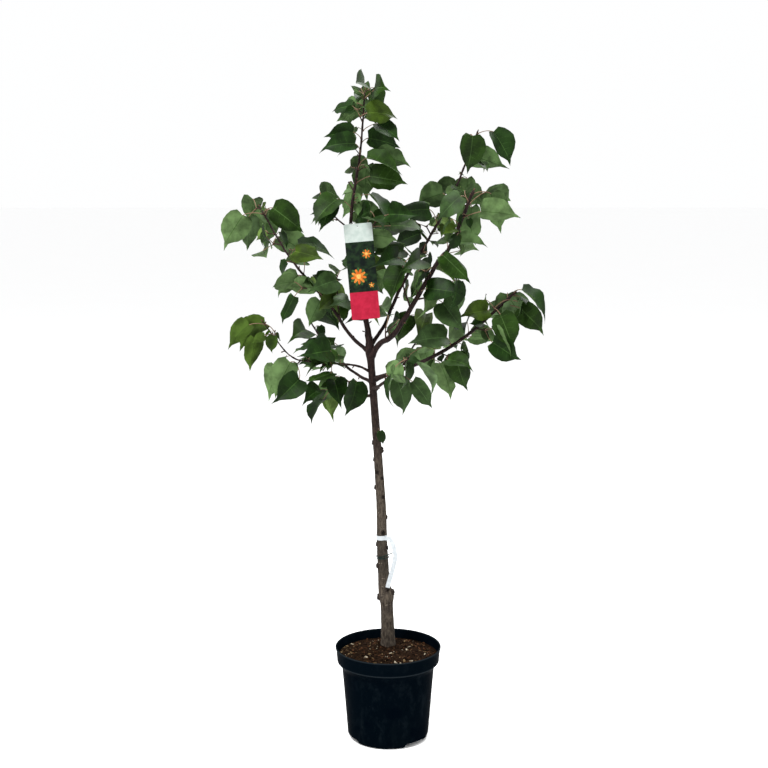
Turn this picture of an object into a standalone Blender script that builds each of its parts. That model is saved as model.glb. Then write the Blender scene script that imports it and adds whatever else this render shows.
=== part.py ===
"""A young apricot tree in a black nursery pot.

Metres, +Z up, the origin at the middle of the pot's underside. The front of the tree faces -Y.
Headings are degrees turned from +X towards +Y, and rises are degrees above level.
"""
import bisect
import functools
import math
import random

import bmesh
import bpy
from mathutils import Matrix, Vector
from mathutils.bvhtree import BVHTree

GAP = 0.0003  # clearance between pieces that touch
UP = Vector((0, 0, 1))
BACK = Vector((0, 1, 0))

# Pot: outer radii and the heights where the wall changes.
POT_HEIGHT = 0.250
POT_RIM_RADIUS = 0.1416
POT_BAND_RADIUS = 0.1368
POT_BAND_FOOT = 0.2120
POT_WALL_TOP = 0.1960
POT_WALL_TOP_RADIUS = 0.1238
POT_WALL_FOOT_RADIUS = 0.1090
POT_FOOT_RADIUS = 0.1000
POT_EDGE_HEIGHT = 0.012
POT_WALL = 0.0030
POT_LIP = 0.0015
POT_FLOOR = 0.0130
POT_STEPS = 32
NOTCH_HEIGHT = 0.012
NOTCH_DEPTH = 0.024
NOTCH_HEADINGS = (-44, 77, 200)
NOTCH_ARC = 39

# Soil: a shallow mound, highest round the trunk.
SOIL_EDGE = 0.2250
SOIL_MOUND = 0.2395
SOIL_TOP_RADIUS = 0.068
TRUNK_FOOT = Vector((0.0, 0.042, SOIL_MOUND))

# Trunk: its lean from foot to fork, and its girth.
TRUNK_LEAN = Vector((-0.050, -0.034, 0.0))
TRUNK_TOP = 1.084
TRUNK_FOOT_RADIUS = 0.0186
TRUNK_TOP_RADIUS = 0.0092
TRUNK_TAPER = 1.5
FLARE = (0.0026, 0.016)  # extra radius at the soil, and the height over which it fades
GRAFT = (0.378, 0.0046, 0.018)  # height, extra radius and half-length of the graft union
GRAFT_STEP = -0.0045  # how far the stem stands to the side above the graft
STEP_HEIGHTS = (0.372, 0.410, 0.500, 0.640)  # where it steps aside, and where it comes back
FORK = (1.046, 0.0036, 0.020)  # the same for the swelling under the boughs
TRUNK_SIDES = 9
BOUGH_SIDES = 7
TWIG_SIDES = 4
SPUR_SIDES = 3
RING_STEP = 0.036
TWIG_STEP = 0.034
KINK = 0.0011  # how far a limb swings from side to side
NODE_LENGTH = 0.031

# Knots on the trunk: height, heading and radius.
KNOTS = (
    (0.374, 184, 0.0095), (0.388, -14, 0.0095), (0.400, -62, 0.0076), (0.463, -166, 0.0078),
    (0.514, -38, 0.0076), (0.523, 184, 0.0064), (0.557, -75, 0.0074), (0.598, -6, 0.0058),
    (0.655, -58, 0.0060), (0.680, 182, 0.0062), (0.707, -55, 0.0056), (0.723, -115, 0.0060),
    (0.756, 180, 0.0060), (0.782, -12, 0.0088), (0.802, 176, 0.0064),
)

# Limbs: height of the foot on the trunk, radius at foot and tip, length of the bare part, and
# the legs of growth as (length, heading, rise).
LIMBS = {
    "leader": (TRUNK_TOP, 0.0078, 0.0016, 0.300,
               ((0.150, 168, 80), (0.150, 186, 82), (0.175, 8, 82), (0.160, -20, 85))),
    "bough_left_high": (1.040, 0.0052, 0.0018, 0.165,
                        ((0.075, 170, 42), (0.080, 165, 55), (0.175, 158, 47), (0.165, 150, 54))),
    "bough_right_front": (1.030, 0.0078, 0.0040, 0.230,
                          ((0.050, -40, 51), (0.070, -38, 35), (0.215, -33, 56),
                           (0.050, -30, 49), (0.150, -27, 66))),
    "bough_right_rear": (1.060, 0.0050, 0.0024, 0.200,
                         ((0.070, 35, 48), (0.120, 35, 61), (0.260, 30, 56), (0.200, 23, 66))),
    "bough_right_low": (0.970, 0.0062, 0.0032, 0.150,
                        ((0.160, -15, 22), (0.130, -12, 33), (0.160, -9, 43))),
    "bough_left_thin": (0.990, 0.0032, 0.0014, 0.110,
                        ((0.060, -145, 23), (0.120, -150, 8), (0.065, -160, 18), (0.110, -166, 52))),
    "bough_left_low": (0.930, 0.0030, 0.0018, 0.060,
                       ((0.045, -160, -3), (0.060, -160, 31), (0.040, -165, 35))),
    "bough_rear": (1.015, 0.0056, 0.0022, 0.150,
                   ((0.100, 98, 35), (0.160, 92, 56), (0.130, 84, 66))),
    "bough_rear_left": (0.962, 0.0046, 0.0020, 0.120,
                        ((0.100, 128, 14), (0.120, 134, 30), (0.090, 138, 48))),
    "bough_rear_right": (0.940, 0.0044, 0.0020, 0.120,
                         ((0.100, 62, 16), (0.120, 56, 30), (0.080, 50, 48))),
    "bough_front": (0.948, 0.0044, 0.0020, 0.080,
                    ((0.080, -72, 16), (0.100, -62, 28), (0.060, -58, 40))),
}

# Masses of foliage that carry a limb on: limb, start and end along it, leaves, leaf size, and the
# space the blades fill as seen from the front, as its left, right, low and high edge.
CARRIED = {
    "foliage_leader_low": ("leader", 0.300, 0.385, 6, 1.00, (-0.200, 0.020, 1.350, 1.470)),
    "foliage_leader_mid": ("leader", 0.385, 0.460, 6, 1.00, (-0.100, 0.090, 1.430, 1.570)),
    "foliage_leader_high": ("leader", 0.460, 0.540, 4, 0.90, (-0.175, 0.045, 1.560, 1.640)),
    "foliage_leader_top": ("leader", 0.540, 0.600, 4, 0.85, (-0.150, 0.035, 1.620, 1.715)),
    "foliage_leader_tip": ("leader", 0.600, 0.635, 3, 0.90, (-0.090, -0.015, 1.680, 1.778)),
    "foliage_left_high_low": ("bough_left_high", 0.165, 0.260, 8, 0.82,
                              (-0.295, -0.110, 1.100, 1.270)),
    "foliage_left_high_mid": ("bough_left_high", 0.260, 0.360, 5, 1.00,
                              (-0.300, -0.120, 1.255, 1.345)),
    "foliage_left_high_upper": ("bough_left_high", 0.360, 0.430, 3, 1.05,
                                (-0.330, -0.205, 1.275, 1.445)),
    "foliage_left_high_tip": ("bough_left_high", 0.430, 0.495, 5, 1.05,
                              (-0.455, -0.205, 1.300, 1.448)),
    "foliage_right_front_low": ("bough_right_front", 0.230, 0.330, 7, 1.00,
                                (0.040, 0.180, 1.190, 1.345)),
    "foliage_right_front_mid": ("bough_right_front", 0.330, 0.430, 7, 1.00,
                                (0.095, 0.240, 1.240, 1.425)),
    "foliage_right_front_tip": ("bough_right_front", 0.430, 0.535, 7, 1.00,
                                (0.120, 0.312, 1.295, 1.490)),
    "foliage_right_rear_low": ("bough_right_rear", 0.200, 0.330, 6, 1.00,
                               (-0.035, 0.110, 1.225, 1.395)),
    "foliage_right_rear_mid": ("bough_right_rear", 0.330, 0.450, 5, 1.00,
                               (0.010, 0.200, 1.340, 1.490)),
    "foliage_right_rear_upper": ("bough_right_rear", 0.450, 0.550, 4, 1.00,
                                 (0.040, 0.240, 1.400, 1.500)),
    "foliage_right_rear_tip": ("bough_right_rear", 0.550, 0.650, 5, 1.00,
                               (0.165, 0.352, 1.440, 1.602)),
    "foliage_right_low_near": ("bough_right_low", 0.150, 0.250, 8, 1.00,
                               (0.020, 0.220, 0.905, 1.140)),
    "foliage_right_low_mid": ("bough_right_low", 0.250, 0.360, 7, 0.95,
                              (0.170, 0.330, 1.025, 1.210)),
    "foliage_right_low_tip": ("bough_right_low", 0.360, 0.450, 6, 1.00,
                              (0.210, 0.408, 1.050, 1.212)),
    "foliage_left_thin_near": ("bough_left_thin", 0.110, 0.200, 6, 0.60,
                               (-0.230, -0.095, 0.995, 1.070)),
    "foliage_left_thin_mid": ("bough_left_thin", 0.200, 0.290, 4, 1.00,
                              (-0.322, -0.160, 0.930, 1.035)),
    "foliage_left_thin_tip": ("bough_left_thin", 0.290, 0.355, 6, 0.90,
                              (-0.410, -0.300, 0.990, 1.160)),
    "foliage_left_low": ("bough_left_low", 0.060, 0.145, 7, 0.95, (-0.230, -0.045, 0.845, 1.000)),
    "foliage_rear_low": ("bough_rear", 0.150, 0.270, 5, 1.00, (-0.125, 0.020, 1.105, 1.240)),
    "foliage_rear_tip": ("bough_rear", 0.270, 0.390, 5, 1.00, (-0.130, 0.030, 1.210, 1.370)),
    "foliage_rear_left": ("bough_rear_left", 0.120, 0.310, 6, 1.00,
                          (-0.260, -0.120, 1.030, 1.170)),
    "foliage_rear_right": ("bough_rear_right", 0.120, 0.300, 5, 1.00,
                           (0.000, 0.160, 0.950, 1.140)),
    "foliage_front": ("bough_front", 0.080, 0.240, 8, 1.00, (-0.010, 0.120, 0.870, 1.060)),
}

# Masses on side shoots: limb, place along it, length, heading and rise, leaves, leaf size, space.
SHOOTS = {
    "foliage_leader_left": ("leader", 0.280, 0.110, 175, 40, 6, 0.95,
                            (-0.205, -0.105, 1.370, 1.500)),
    "foliage_leader_right": ("leader", 0.262, 0.100, -20, 25, 6, 0.95,
                             (-0.080, 0.085, 1.345, 1.450)),
    "foliage_inner_left": ("bough_left_high", 0.120, 0.120, 110, 70, 7, 0.85,
                           (-0.220, -0.100, 1.115, 1.275)),
    "foliage_inner_right": ("bough_right_front", 0.190, 0.120, 150, 70, 6, 0.95,
                            (-0.035, 0.060, 1.165, 1.345)),
    "foliage_right_outer": ("bough_right_front", 0.218, 0.110, -30, 15, 6, 1.05,
                            (0.075, 0.205, 1.110, 1.245)),
    "foliage_fork": ("bough_right_front", 0.075, 0.050, -95, 45, 4, 0.90,
                     (-0.085, 0.035, 1.085, 1.165)),
    "foliage_left_hanging": ("bough_left_thin", 0.095, 0.070, -120, 10, 5, 1.00,
                             (-0.215, -0.125, 0.990, 1.120)),
}

# How a mass grows.
SPUR_SHARE = 0.35  # share of the nodes that bear a short spur and not a single leaf
SPUR_LENGTH = (0.010, 0.040)
FIRST_NODE = 0.014
LAST_NODE = 0.007
TURN_PER_LEAF = 137.5
TWIG_TIP_RADIUS = 0.0013
PETIOLE_LENGTH = (0.028, 0.056)
PETIOLE_RADIUS = 0.0011
LEAF_LENGTH = 0.091
LEAF_WIDTH = 0.80  # width over length
LEAF_THICKNESS = 0.0011
BLADE = ((0.09, 0.84), (0.40, 1.0), (0.78, 0.40))  # place along the blade, share of its width

# How a leaf finds its stance: it tries several, and the best one fills new squares of the space.
STANCES = 600
SQUARE = 0.012
SQUARE_ROWS = ((0.05, 0.7), (0.17, 0.9), (0.29, 1.0), (0.41, 1.0), (0.53, 0.85), (0.65, 0.65),
               (0.77, 0.42), (0.88, 0.2), (1.0, 0.0))
ROUNDNESS = 4  # 2 would make each space an ellipse, and higher powers a box
SPILL = 1.5  # what a square outside the space takes off, over what a new one inside adds
REACH = 4  # what coming one square nearer to an edge of the space adds
IN_VIEW = ("leader", "bough_left_high", "bough_left_thin", "bough_right_front", "bough_right_low",
           "bough_right_rear")
HIDING = 2.5  # what a square in front of one of these limbs takes off

# Hang tag on the leader, and the trims on the trunk.
CARD = (0.0725, 0.0008, 0.2450)
CARD_MIDDLE = Vector((-0.0675, -0.030, 1.2565))
CARD_TILT = -5.0
CARD_CORNER = 0.004
CARD_VIEW = 0.035  # step between the sheets that keep leaves from hanging in front of it
CARD_HOLE = (0.0016, 0.0090)  # radius, and how far the hole is below the top edge
LOOP_RADIUS = 0.0007
LOOP_HOST = "leader"
LOOP_WIDTH = 0.0045  # half the distance between its two crossings of the card
LOOP_FRONT = 0.0040  # how far it stands out in front of the card
LOOP_OVER = 0.0030  # how far it passes above the card's top edge
LOOP_STEPS = 14
STRIP_HEIGHT = 0.543
STRIP_WIDTH = 0.0120
STRIP_THICKNESS = 0.0007
STRIP_TAIL = ((0.006, -20, 0), (0.014, -35, -12), (0.026, -40, -65), (0.030, -60, -84),
              (0.080, 160, -75))
WIRE_HEIGHT = 0.487
WIRE_RADIUS = 0.0012
WIRE_PITCH = 0.0045
WIRE_END = 0.034

COLOURS = {
    "pot": (0.010, 0.012, 0.016), "soil": (0.035, 0.020, 0.012), "bark": (0.090, 0.066, 0.052),
    "leaf": (0.030, 0.085, 0.028), "card": (0.62, 0.66, 0.60),
    "strip": (0.80, 0.80, 0.78), "wire": (0.02, 0.05, 0.03),
}


def clear():
    for thing in list(bpy.data.objects):
        bpy.data.objects.remove(thing, do_unlink=True)


def new_collection(name):
    made = bpy.data.collections.new(name)
    bpy.context.scene.collection.children.link(made)
    return made


def material(name, roughness):
    made = bpy.data.materials.get(name)
    if made is None:
        made = bpy.data.materials.new(name)
        made.use_nodes = True
        shader = made.node_tree.nodes["Principled BSDF"]
        shader.inputs["Base Color"].default_value = (*COLOURS[name], 1)
        shader.inputs["Roughness"].default_value = roughness
        shader.inputs["Metallic"].default_value = 0.0
    return made


def direction(heading, rise):
    heading, rise = math.radians(heading), math.radians(rise)
    level = math.cos(rise)
    return Vector((math.cos(heading) * level, math.sin(heading) * level, math.sin(rise)))


def share(low_high, t):
    return low_high[0] + (low_high[1] - low_high[0]) * t


# The lines that everything grows along.

def eased(value, low, high):
    t = min(max((value - low) / (high - low), 0.0), 1.0)
    return t * t * (3 - 2 * t)


def trunk_axis(height):
    t = (height - SOIL_MOUND) / (TRUNK_TOP - SOIL_MOUND)
    aside = eased(height, *STEP_HEIGHTS[:2]) - eased(height, *STEP_HEIGHTS[2:])
    return Vector((TRUNK_FOOT.x + TRUNK_LEAN.x * max(t, 0.0) ** 1.3 + GRAFT_STEP * aside,
                   TRUNK_FOOT.y + TRUNK_LEAN.y * t, height))


def trunk_radius(height):
    t = (height - SOIL_MOUND) / (TRUNK_TOP - SOIL_MOUND)
    radius = share((TRUNK_TOP_RADIUS, TRUNK_FOOT_RADIUS), max(1 - t, 0.0) ** TRUNK_TAPER)
    radius += FLARE[0] * math.exp(-(height - SOIL_MOUND) / FLARE[1])
    for where, extra, half in (GRAFT, FORK):
        radius += extra * math.exp(-(((height - where) / half) ** 2))
    return radius


class Path:
    """A smooth line through corners, by distance from its foot, that swings at its nodes."""

    def __init__(self, corners, kink=KINK):
        first, last = 2 * corners[0] - corners[1], 2 * corners[-1] - corners[-2]
        ends = [first, *corners, last]
        self.points, self.places = [corners[0]], [0.0]
        for a, b, c, d in zip(ends, ends[1:], ends[2:], ends[3:]):
            count = max(2, round((c - b).length / 0.005))
            for k in range(1, count + 1):
                t = k / count
                point = 0.5 * (2 * b + (c - a) * t + (2 * a - 5 * b + 4 * c - d) * t ** 2
                               + (3 * b - a - 3 * c + d) * t ** 3)
                self.places.append(self.places[-1] + (point - self.points[-1]).length)
                self.points.append(point)
        self.length = self.places[-1]
        self.side = (corners[-1] - corners[0]).cross(UP).normalized() * kink

    def at(self, place):
        place = min(max(place, 0.0), self.length)
        k = min(max(bisect.bisect_left(self.places, place), 1), len(self.places) - 1)
        t = (place - self.places[k - 1]) / (self.places[k] - self.places[k - 1])
        swing = math.sin(math.pi * place / NODE_LENGTH)
        return self.points[k - 1].lerp(self.points[k], t) + self.side * swing

    def along(self, place):
        place = min(place, self.length - 0.003)
        return (self.at(place + 0.003) - self.at(place - 0.003)).normalized()


def corners_of(foot, legs):
    corners = [foot]
    for length, heading, rise in legs:
        corners.append(corners[-1] + direction(heading, rise) * length)
    return corners


@functools.cache
def limb_path(name):
    foot, _, _, _, legs = LIMBS[name]
    return Path(corners_of(trunk_axis(foot), legs))


def limb_radius(name, place, length):
    _, at_foot, at_tip, _, _ = LIMBS[name]
    return at_foot + (at_tip - at_foot) * min(place / length, 1.0) ** 0.8


@functools.cache
def shoot_path(name):
    limb, place, length, heading, rise = SHOOTS[name][:5]
    legs = ((length / 2, heading, rise), (length / 2, heading, rise + 18))
    return Path(corners_of(limb_path(limb).at(place), legs), kink=KINK / 2)


def stem_of(name):
    """(path, start, end, radius at start, radius at end) of a mass's own stem."""
    if name in CARRIED:
        limb, start, end = CARRIED[name][:3]
        path = limb_path(limb)
        end = min(end, path.length)
        last = end > path.length - 0.01
        tip = min(limb_radius(limb, end, path.length), 0.004 if last else 1.0)
        return path, start + GAP, end, limb_radius(limb, start, path.length), tip
    path = shoot_path(name)
    return path, 0.0, path.length, 0.0022, TWIG_TIP_RADIUS


# The seeded rule of a mass.

def across(along, turn):
    """The direction at right angles to a twig, turned round it by degrees."""
    flat = along.cross(UP if abs(along.z) < 0.9 else Vector((1, 0, 0))).normalized()
    return Matrix.Rotation(math.radians(turn), 3, along) @ flat


def hang_leaf(start, along, out, size, rng):
    """A petiole that leaves its twig and arches over, and the frame of the blade at its end."""
    length = share(PETIOLE_LENGTH, rng.random()) * size
    droop, turn, roll = rng.uniform(-5, 80), rng.uniform(-80, 80), rng.uniform(-70, 70)
    blade = LEAF_LENGTH * size * rng.uniform(0.84, 1.12)
    fold, curl = rng.uniform(8, 30), rng.uniform(10, 50)
    leave = (along * 0.55 + out * 0.85 + UP * 0.25).normalized()
    heading = math.degrees(math.atan2(leave.y, leave.x)) + turn
    hang = direction(heading, -droop)
    knee = start + leave * length * 0.6
    joint = knee + (leave * 0.4 + hang * 0.6).normalized() * length * 0.4
    face = Matrix.Rotation(math.radians(roll), 3, hang) @ (UP - hang * hang.z).normalized()
    return {"stalk": (start, knee, joint), "hang": hang, "face": face, "length": blade,
            "fold": math.radians(fold), "curl": math.radians(curl)}


def nodes_of(name):
    """Where leaves start on a mass, as (twig, places): a twig is None or (foot, tip)."""
    count = (CARRIED.get(name) or SHOOTS[name])[-3]
    rng = random.Random(name)
    path, start, end, _, _ = stem_of(name)
    spin, bunches = rng.uniform(0, 360), []
    while sum(bunches) < count:
        bunch = rng.randint(2, 3) if rng.random() < SPUR_SHARE else 1
        bunches.append(min(bunch, count - sum(bunches)))
    first, last = start + FIRST_NODE, end - LAST_NODE
    nodes = []
    for k, bunch in enumerate(bunches):
        place = share((first, last), k / max(len(bunches) - 1, 1))
        turn = spin + TURN_PER_LEAF * k + rng.uniform(-25, 25)
        foot, along = path.at(place), path.along(place)
        out = across(along, turn)
        if bunch == 1:
            nodes.append((None, [(foot, along, out)]))
            continue
        spur = (along * 0.5 + out * 0.85 + UP * 0.2).normalized()
        tip = foot + spur * share(SPUR_LENGTH, rng.random())
        places = []
        for j in range(bunch):
            fan = across(spur, turn + 360 * j / bunch + rng.uniform(-25, 25))
            places.append((tip - spur * 0.002, spur, fan))
        nodes.append(((foot, tip), places))
    return nodes


def stances(name, node, place):
    """The stances that one leaf may take, each by its own seeded draw."""
    size = (CARRIED.get(name) or SHOOTS[name])[-2]
    return [hang_leaf(*place, size, random.Random(f"{name} {node} {draw}"))
            for draw in range(STANCES)]


def blade_spot(leaf, u, v, lift=0.0):
    """A point of a blade: u along it, and v aside as a share of half its width."""
    curl, fold, length = leaf["curl"], leaf["fold"], leaf["length"]
    aside = v * length * LEAF_WIDTH / 2
    down = (1 - math.cos(curl * u)) / curl
    side = leaf["hang"].cross(leaf["face"])
    return (leaf["stalk"][2] + leaf["hang"] * (math.sin(curl * u) / curl * length)
            + side * aside * math.cos(fold)
            + leaf["face"] * (abs(aside) * math.sin(fold) + lift - down * length))


def leaf_shape(leaf):
    """Points and faces of a leaf: one loft of four-point rings from the petiole's foot to the tip.

    The blade is a lens in section, folded at its midrib and curled along its length.
    """
    hang, side = leaf["hang"], leaf["hang"].cross(leaf["face"])
    foot, knee, joint = leaf["stalk"]
    points = []
    for place, along in ((foot, knee - foot), (knee, joint - foot), (joint, hang)):
        along = along.normalized()
        left = (side - along * side.dot(along)).normalized() * PETIOLE_RADIUS
        top = left.cross(along)
        points += [place + left, place + top, place - left, place - top]
    for u, wide in BLADE:
        thick = LEAF_THICKNESS / 2 * wide ** 0.5
        points += [blade_spot(leaf, u, wide), blade_spot(leaf, u, 0, thick),
                   blade_spot(leaf, u, -wide), blade_spot(leaf, u, 0, -thick)]
    faces, rings = [(0, 1, 2, 3)], len(points) // 4
    for k in range(4):
        beside = (k + 1) % 4
        for low in range(0, 4 * (rings - 1), 4):
            faces.append((low + k, low + 4 + k, low + 4 + beside, low + beside))
        faces.append((4 * rings - 4 + k, 4 * rings, 4 * rings - 4 + beside))
    points.append(blade_spot(leaf, 1.0, 0))
    return points, faces


def sleeve(line, radius):
    """A square tube round a line, which stands in for a thin twig in the clearance test."""
    points, faces = [], []
    for a, b in zip(line, line[1:]):
        along, first = (b - a).normalized(), len(points)
        for end in (a, b):
            points += [end + across(along, 90 * k) * radius for k in range(4)]
        for k in range(4):
            low, high = first + k, first + (k + 1) % 4
            faces.append((low, high, high + 4, low + 4))
    return points, faces


def tree_of(shapes):
    points, faces = [], []
    for some, listed in shapes:
        faces += [tuple(len(points) + k for k in face) for face in listed]
        points += some
    return BVHTree.FromPolygons(points, faces)


def blade_only(leaf):
    points, faces = leaf_shape(leaf)
    return points, [face for face in faces if min(face) >= 8]


def clear_of(shapes, obstacles):
    own = tree_of(shapes)
    return not any(own.overlap(tree) for tree in obstacles)


def square_at(spot):
    return round(spot.x / SQUARE), round(spot.z / SQUARE)


@functools.cache
def limbs_in_view():
    """The squares that the limbs in view cross, with how far back the wood is in each."""
    crossed = {}
    for name in IN_VIEW:
        path = limb_path(name)
        for k in range(round(2 * path.length / SQUARE)):
            spot = path.at(k * SQUARE / 2)
            crossed[square_at(spot)] = max(spot.y, crossed.get(square_at(spot), spot.y))
    return crossed


class Space:
    """The room that a mass keeps to as seen from the front, and the squares filled so far."""

    def __init__(self, edges):
        self.edges = [round(edge / SQUARE) for edge in edges]
        self.filled = set()

    def spots(self, leaf):
        return [blade_spot(leaf, u, v * wide) for u, wide in SQUARE_ROWS
                for v in (-1, -0.5, 0, 0.5, 1)]

    def hiding(self, spots):
        """How many squares of wood in view the spots are in front of."""
        wood = limbs_in_view()
        return len({square_at(spot) for spot in spots if spot.y < wood.get(square_at(spot), -1)})

    def inside(self, squares):
        left, right, low, high = self.edges
        return {(x, z) for x, z in squares
                if abs((2 * x - left - right) / (right - left)) ** ROUNDNESS
                + abs((2 * z - low - high) / (high - low)) ** ROUNDNESS <= 1.0}

    def short(self, squares):
        """How many squares are missing between those filled and the space's four edges."""
        if not squares:
            return sum(abs(a - b) for a, b in zip(self.edges[::2], self.edges[1::2]))
        level, heights = [x for x, _ in squares], [z for _, z in squares]
        left, right, low, high = self.edges
        return min(level) - left + right - max(level) + min(heights) - low + high - max(heights)

    def gain(self, leaf):
        spots = self.spots(leaf)
        squares = {square_at(spot) for spot in spots}
        inside = self.inside(squares)
        nearer = self.short(self.filled) - self.short(self.filled | inside)
        return (len(inside - self.filled) - SPILL * len(squares - inside) + REACH * nearer
                - HIDING * self.hiding(spots))

    def fill(self, leaf):
        self.filled |= self.inside({square_at(spot) for spot in self.spots(leaf)})


def grow(name, obstacles):
    """The spurs and leaves of a mass as (twig, leaves) groups, clear of all the obstacles.

    A leaf that would leave the space or touch something in every stance is skipped.
    """
    room = Space((CARRIED.get(name) or SHOOTS[name])[-1])
    groups, blades = [], []
    for k, (twig, places) in enumerate(nodes_of(name)):
        if twig and not clear_of([sleeve(twig, 0.0028)], obstacles):
            continue
        leaves = []
        for j, place in enumerate(places):
            tried = [(room.gain(leaf), leaf) for leaf in stances(name, f"{k} {j}", place)]
            for gain, leaf in sorted(tried, key=lambda pair: -pair[0]):
                if gain > 0 and leaf_is_clear(leaf, obstacles, blades):
                    room.fill(leaf)
                    blades.append(tree_of([blade_only(leaf)]))
                    leaves.append(leaf)
                    break
        if leaves:
            groups.append((twig, leaves))
    return groups


def leaf_is_clear(leaf, obstacles, blades):
    return (clear_of([leaf_shape(leaf), sleeve(leaf["stalk"], 0.0018)], obstacles)
            and clear_of([blade_only(leaf)], blades))


def stem_shapes():
    """Clearance shapes of the bare limbs and of every mass's stem, by node name."""
    shapes = {}
    for name, (_, thick, _, bare, _) in LIMBS.items():
        path = limb_path(name)
        line = [path.at(bare * k / 8) for k in range(9)]
        shapes[name] = sleeve(line, thick * 1.35)
    for name in [*CARRIED, *SHOOTS]:
        path, start, end, thick, _ = stem_of(name)
        line = [path.at(share((start, end), k / 8)) for k in range(9)]
        shapes[name] = sleeve(line, thick * 1.3 + 0.0006)
    heights = [share((SOIL_MOUND, TRUNK_TOP), k / 20) for k in range(21)]
    shapes["trunk"] = sleeve([trunk_axis(h) for h in heights], 0.018)
    shapes["tag_card"] = card_clearance()
    around = loop_points()
    shapes["tag_loop"] = sleeve([*around, around[0]], 2 * LOOP_RADIUS)
    return shapes


def card_clearance():
    """The card and the view of it from the front, as a pile of sheets that nothing may cross."""
    wide, _, tall = CARD
    turn = Matrix.Rotation(math.radians(CARD_TILT), 3, "Y")
    faces, points = [], []
    for depth in (0.002, -0.002, *(-CARD_VIEW * k for k in range(1, 6))):
        k = len(points)
        for x, z in ((-1, -1), (1, -1), (1, 1), (-1, 1)):
            points.append(CARD_MIDDLE + turn @ Vector((x * wide / 2, depth, z * tall / 2)))
        faces.append((k, k + 1, k + 2, k + 3))
    return points, faces


def wood_near(name, height):
    """Centre and radius of a bare limb at a height, along the straight stretches it is made of."""
    line, radii, _ = limb_line(name)
    k = 1
    while line[k].z < height and k < len(line) - 1:
        k += 1
    t = (height - line[k - 1].z) / (line[k].z - line[k - 1].z)
    return line[k - 1].lerp(line[k], t), share((radii[k - 1], radii[k]), t)


def loop_points():
    """A strap through the card's hole, round the leader and back over the card's top edge."""
    hole = CARD_MIDDLE + Matrix.Rotation(math.radians(CARD_TILT), 3, "Y") @ Vector(
        (0, 0, CARD[2] / 2 - CARD_HOLE[1]))
    rise = CARD_HOLE[1] + LOOP_OVER
    wood, thick = wood_near(LOOP_HOST, hole.z + rise / 2)
    half = LOOP_STEPS // 2
    bend = (thick + LOOP_RADIUS + GAP) / math.cos(math.pi / 2 / (half - 1))
    middle = hole - Vector((LOOP_WIDTH, 0, 0))
    back = wood - middle
    back.z = 0
    reach = back.length
    back.normalize()
    left = UP.cross(back)
    plan = []
    for k in range(half):
        angle = math.pi * (k / (half - 1) - 0.5)
        plan.append((reach + bend * math.cos(angle), bend * math.sin(angle)))
    for k in range(half):
        angle = math.pi * (0.5 - k / (half - 1))
        plan.append((-LOOP_FRONT * math.cos(angle), LOOP_WIDTH * math.sin(angle)))
    points = []
    for away, aside in plan:
        at_wood = min(max(away / reach, 0.0), 1.0)
        lift = share((0.5 + aside / LOOP_WIDTH / 2, 0.5), at_wood) * rise
        points.append(middle + back * away + left * aside + UP * lift)
    return points


def grow_all():
    """Every mass as name: groups, each clear of the wood and of the masses before it."""
    wood = {name: tree_of([shape]) for name, shape in stem_shapes().items()}
    grown, foliage = {}, []
    for name in [*CARRIED, *SHOOTS]:
        others = [tree for node, tree in wood.items() if node != name] + foliage
        groups = grow(name, others)
        grown[name] = groups
        shapes = [leaf_shape(leaf) for _, leaves in groups for leaf in leaves]
        shapes += [sleeve(twig, 0.0028) for twig, _ in groups if twig]
        foliage.append(tree_of(shapes))
    return grown


# Solids.

def solid(name, points, faces, edges=()):
    mesh = bpy.data.meshes.new(name)
    mesh.from_pydata([tuple(point) for point in points], list(edges), list(faces))
    if faces:
        tidy_normals(mesh)
    made = bpy.data.objects.new(name, mesh)
    bpy.context.scene.collection.objects.link(made)
    return made


def tidy_normals(mesh, weld=1e-6):
    shape = bmesh.new()
    shape.from_mesh(mesh)
    bmesh.ops.remove_doubles(shape, verts=shape.verts, dist=weld)
    bmesh.ops.recalc_face_normals(shape, faces=shape.faces)
    shape.to_mesh(mesh)
    shape.free()


def move(thing, collection):
    for held in list(thing.users_collection):
        held.objects.unlink(thing)
    collection.objects.link(thing)


def remove(things):
    for thing in list(things):
        bpy.data.objects.remove(thing, do_unlink=True)


def section(sides):
    """The ring, one metre in radius, that a tube of this many sides is swept from."""
    name = f"section_{sides}"
    if name not in bpy.data.objects:
        ring = bpy.data.curves.new(name, "CURVE")
        spline = ring.splines.new("POLY")
        spline.points.add(sides - 1)
        spline.use_cyclic_u = True
        for k, point in enumerate(spline.points):
            angle = math.tau * k / sides
            point.co = (math.cos(angle), math.sin(angle), 0, 1)
        made = bpy.data.objects.new(name, ring)
        made.hide_render, made.display_type = True, "WIRE"
        bpy.data.collections["cutters"].objects.link(made)
    return bpy.data.objects[name]


def swept(lines, cyclic=False):
    """Closed tubes along lines of (points, radii, sides)."""
    curves = []
    for points, radii, sides in lines:
        data = bpy.data.curves.new("tube", "CURVE")
        data.dimensions, data.bevel_mode, data.use_fill_caps = "3D", "OBJECT", not cyclic
        data.bevel_object = section(sides)
        spline = data.splines.new("POLY")
        spline.points.add(len(points) - 1)
        spline.use_cyclic_u = cyclic
        for point, place, radius in zip(spline.points, points, radii):
            point.co, point.radius = (*place, 1), radius
        curves.append(bpy.data.objects.new("tube", data))
        bpy.context.scene.collection.objects.link(curves[-1])
    bpy.context.view_layer.update()
    graph = bpy.context.evaluated_depsgraph_get()
    tubes = []
    for curve in curves:
        mesh = bpy.data.meshes.new_from_object(curve.evaluated_get(graph))
        tidy_normals(mesh)
        tubes.append(bpy.data.objects.new("tube", mesh))
        bpy.context.scene.collection.objects.link(tubes[-1])
    remove(curves)
    return tubes


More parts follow.
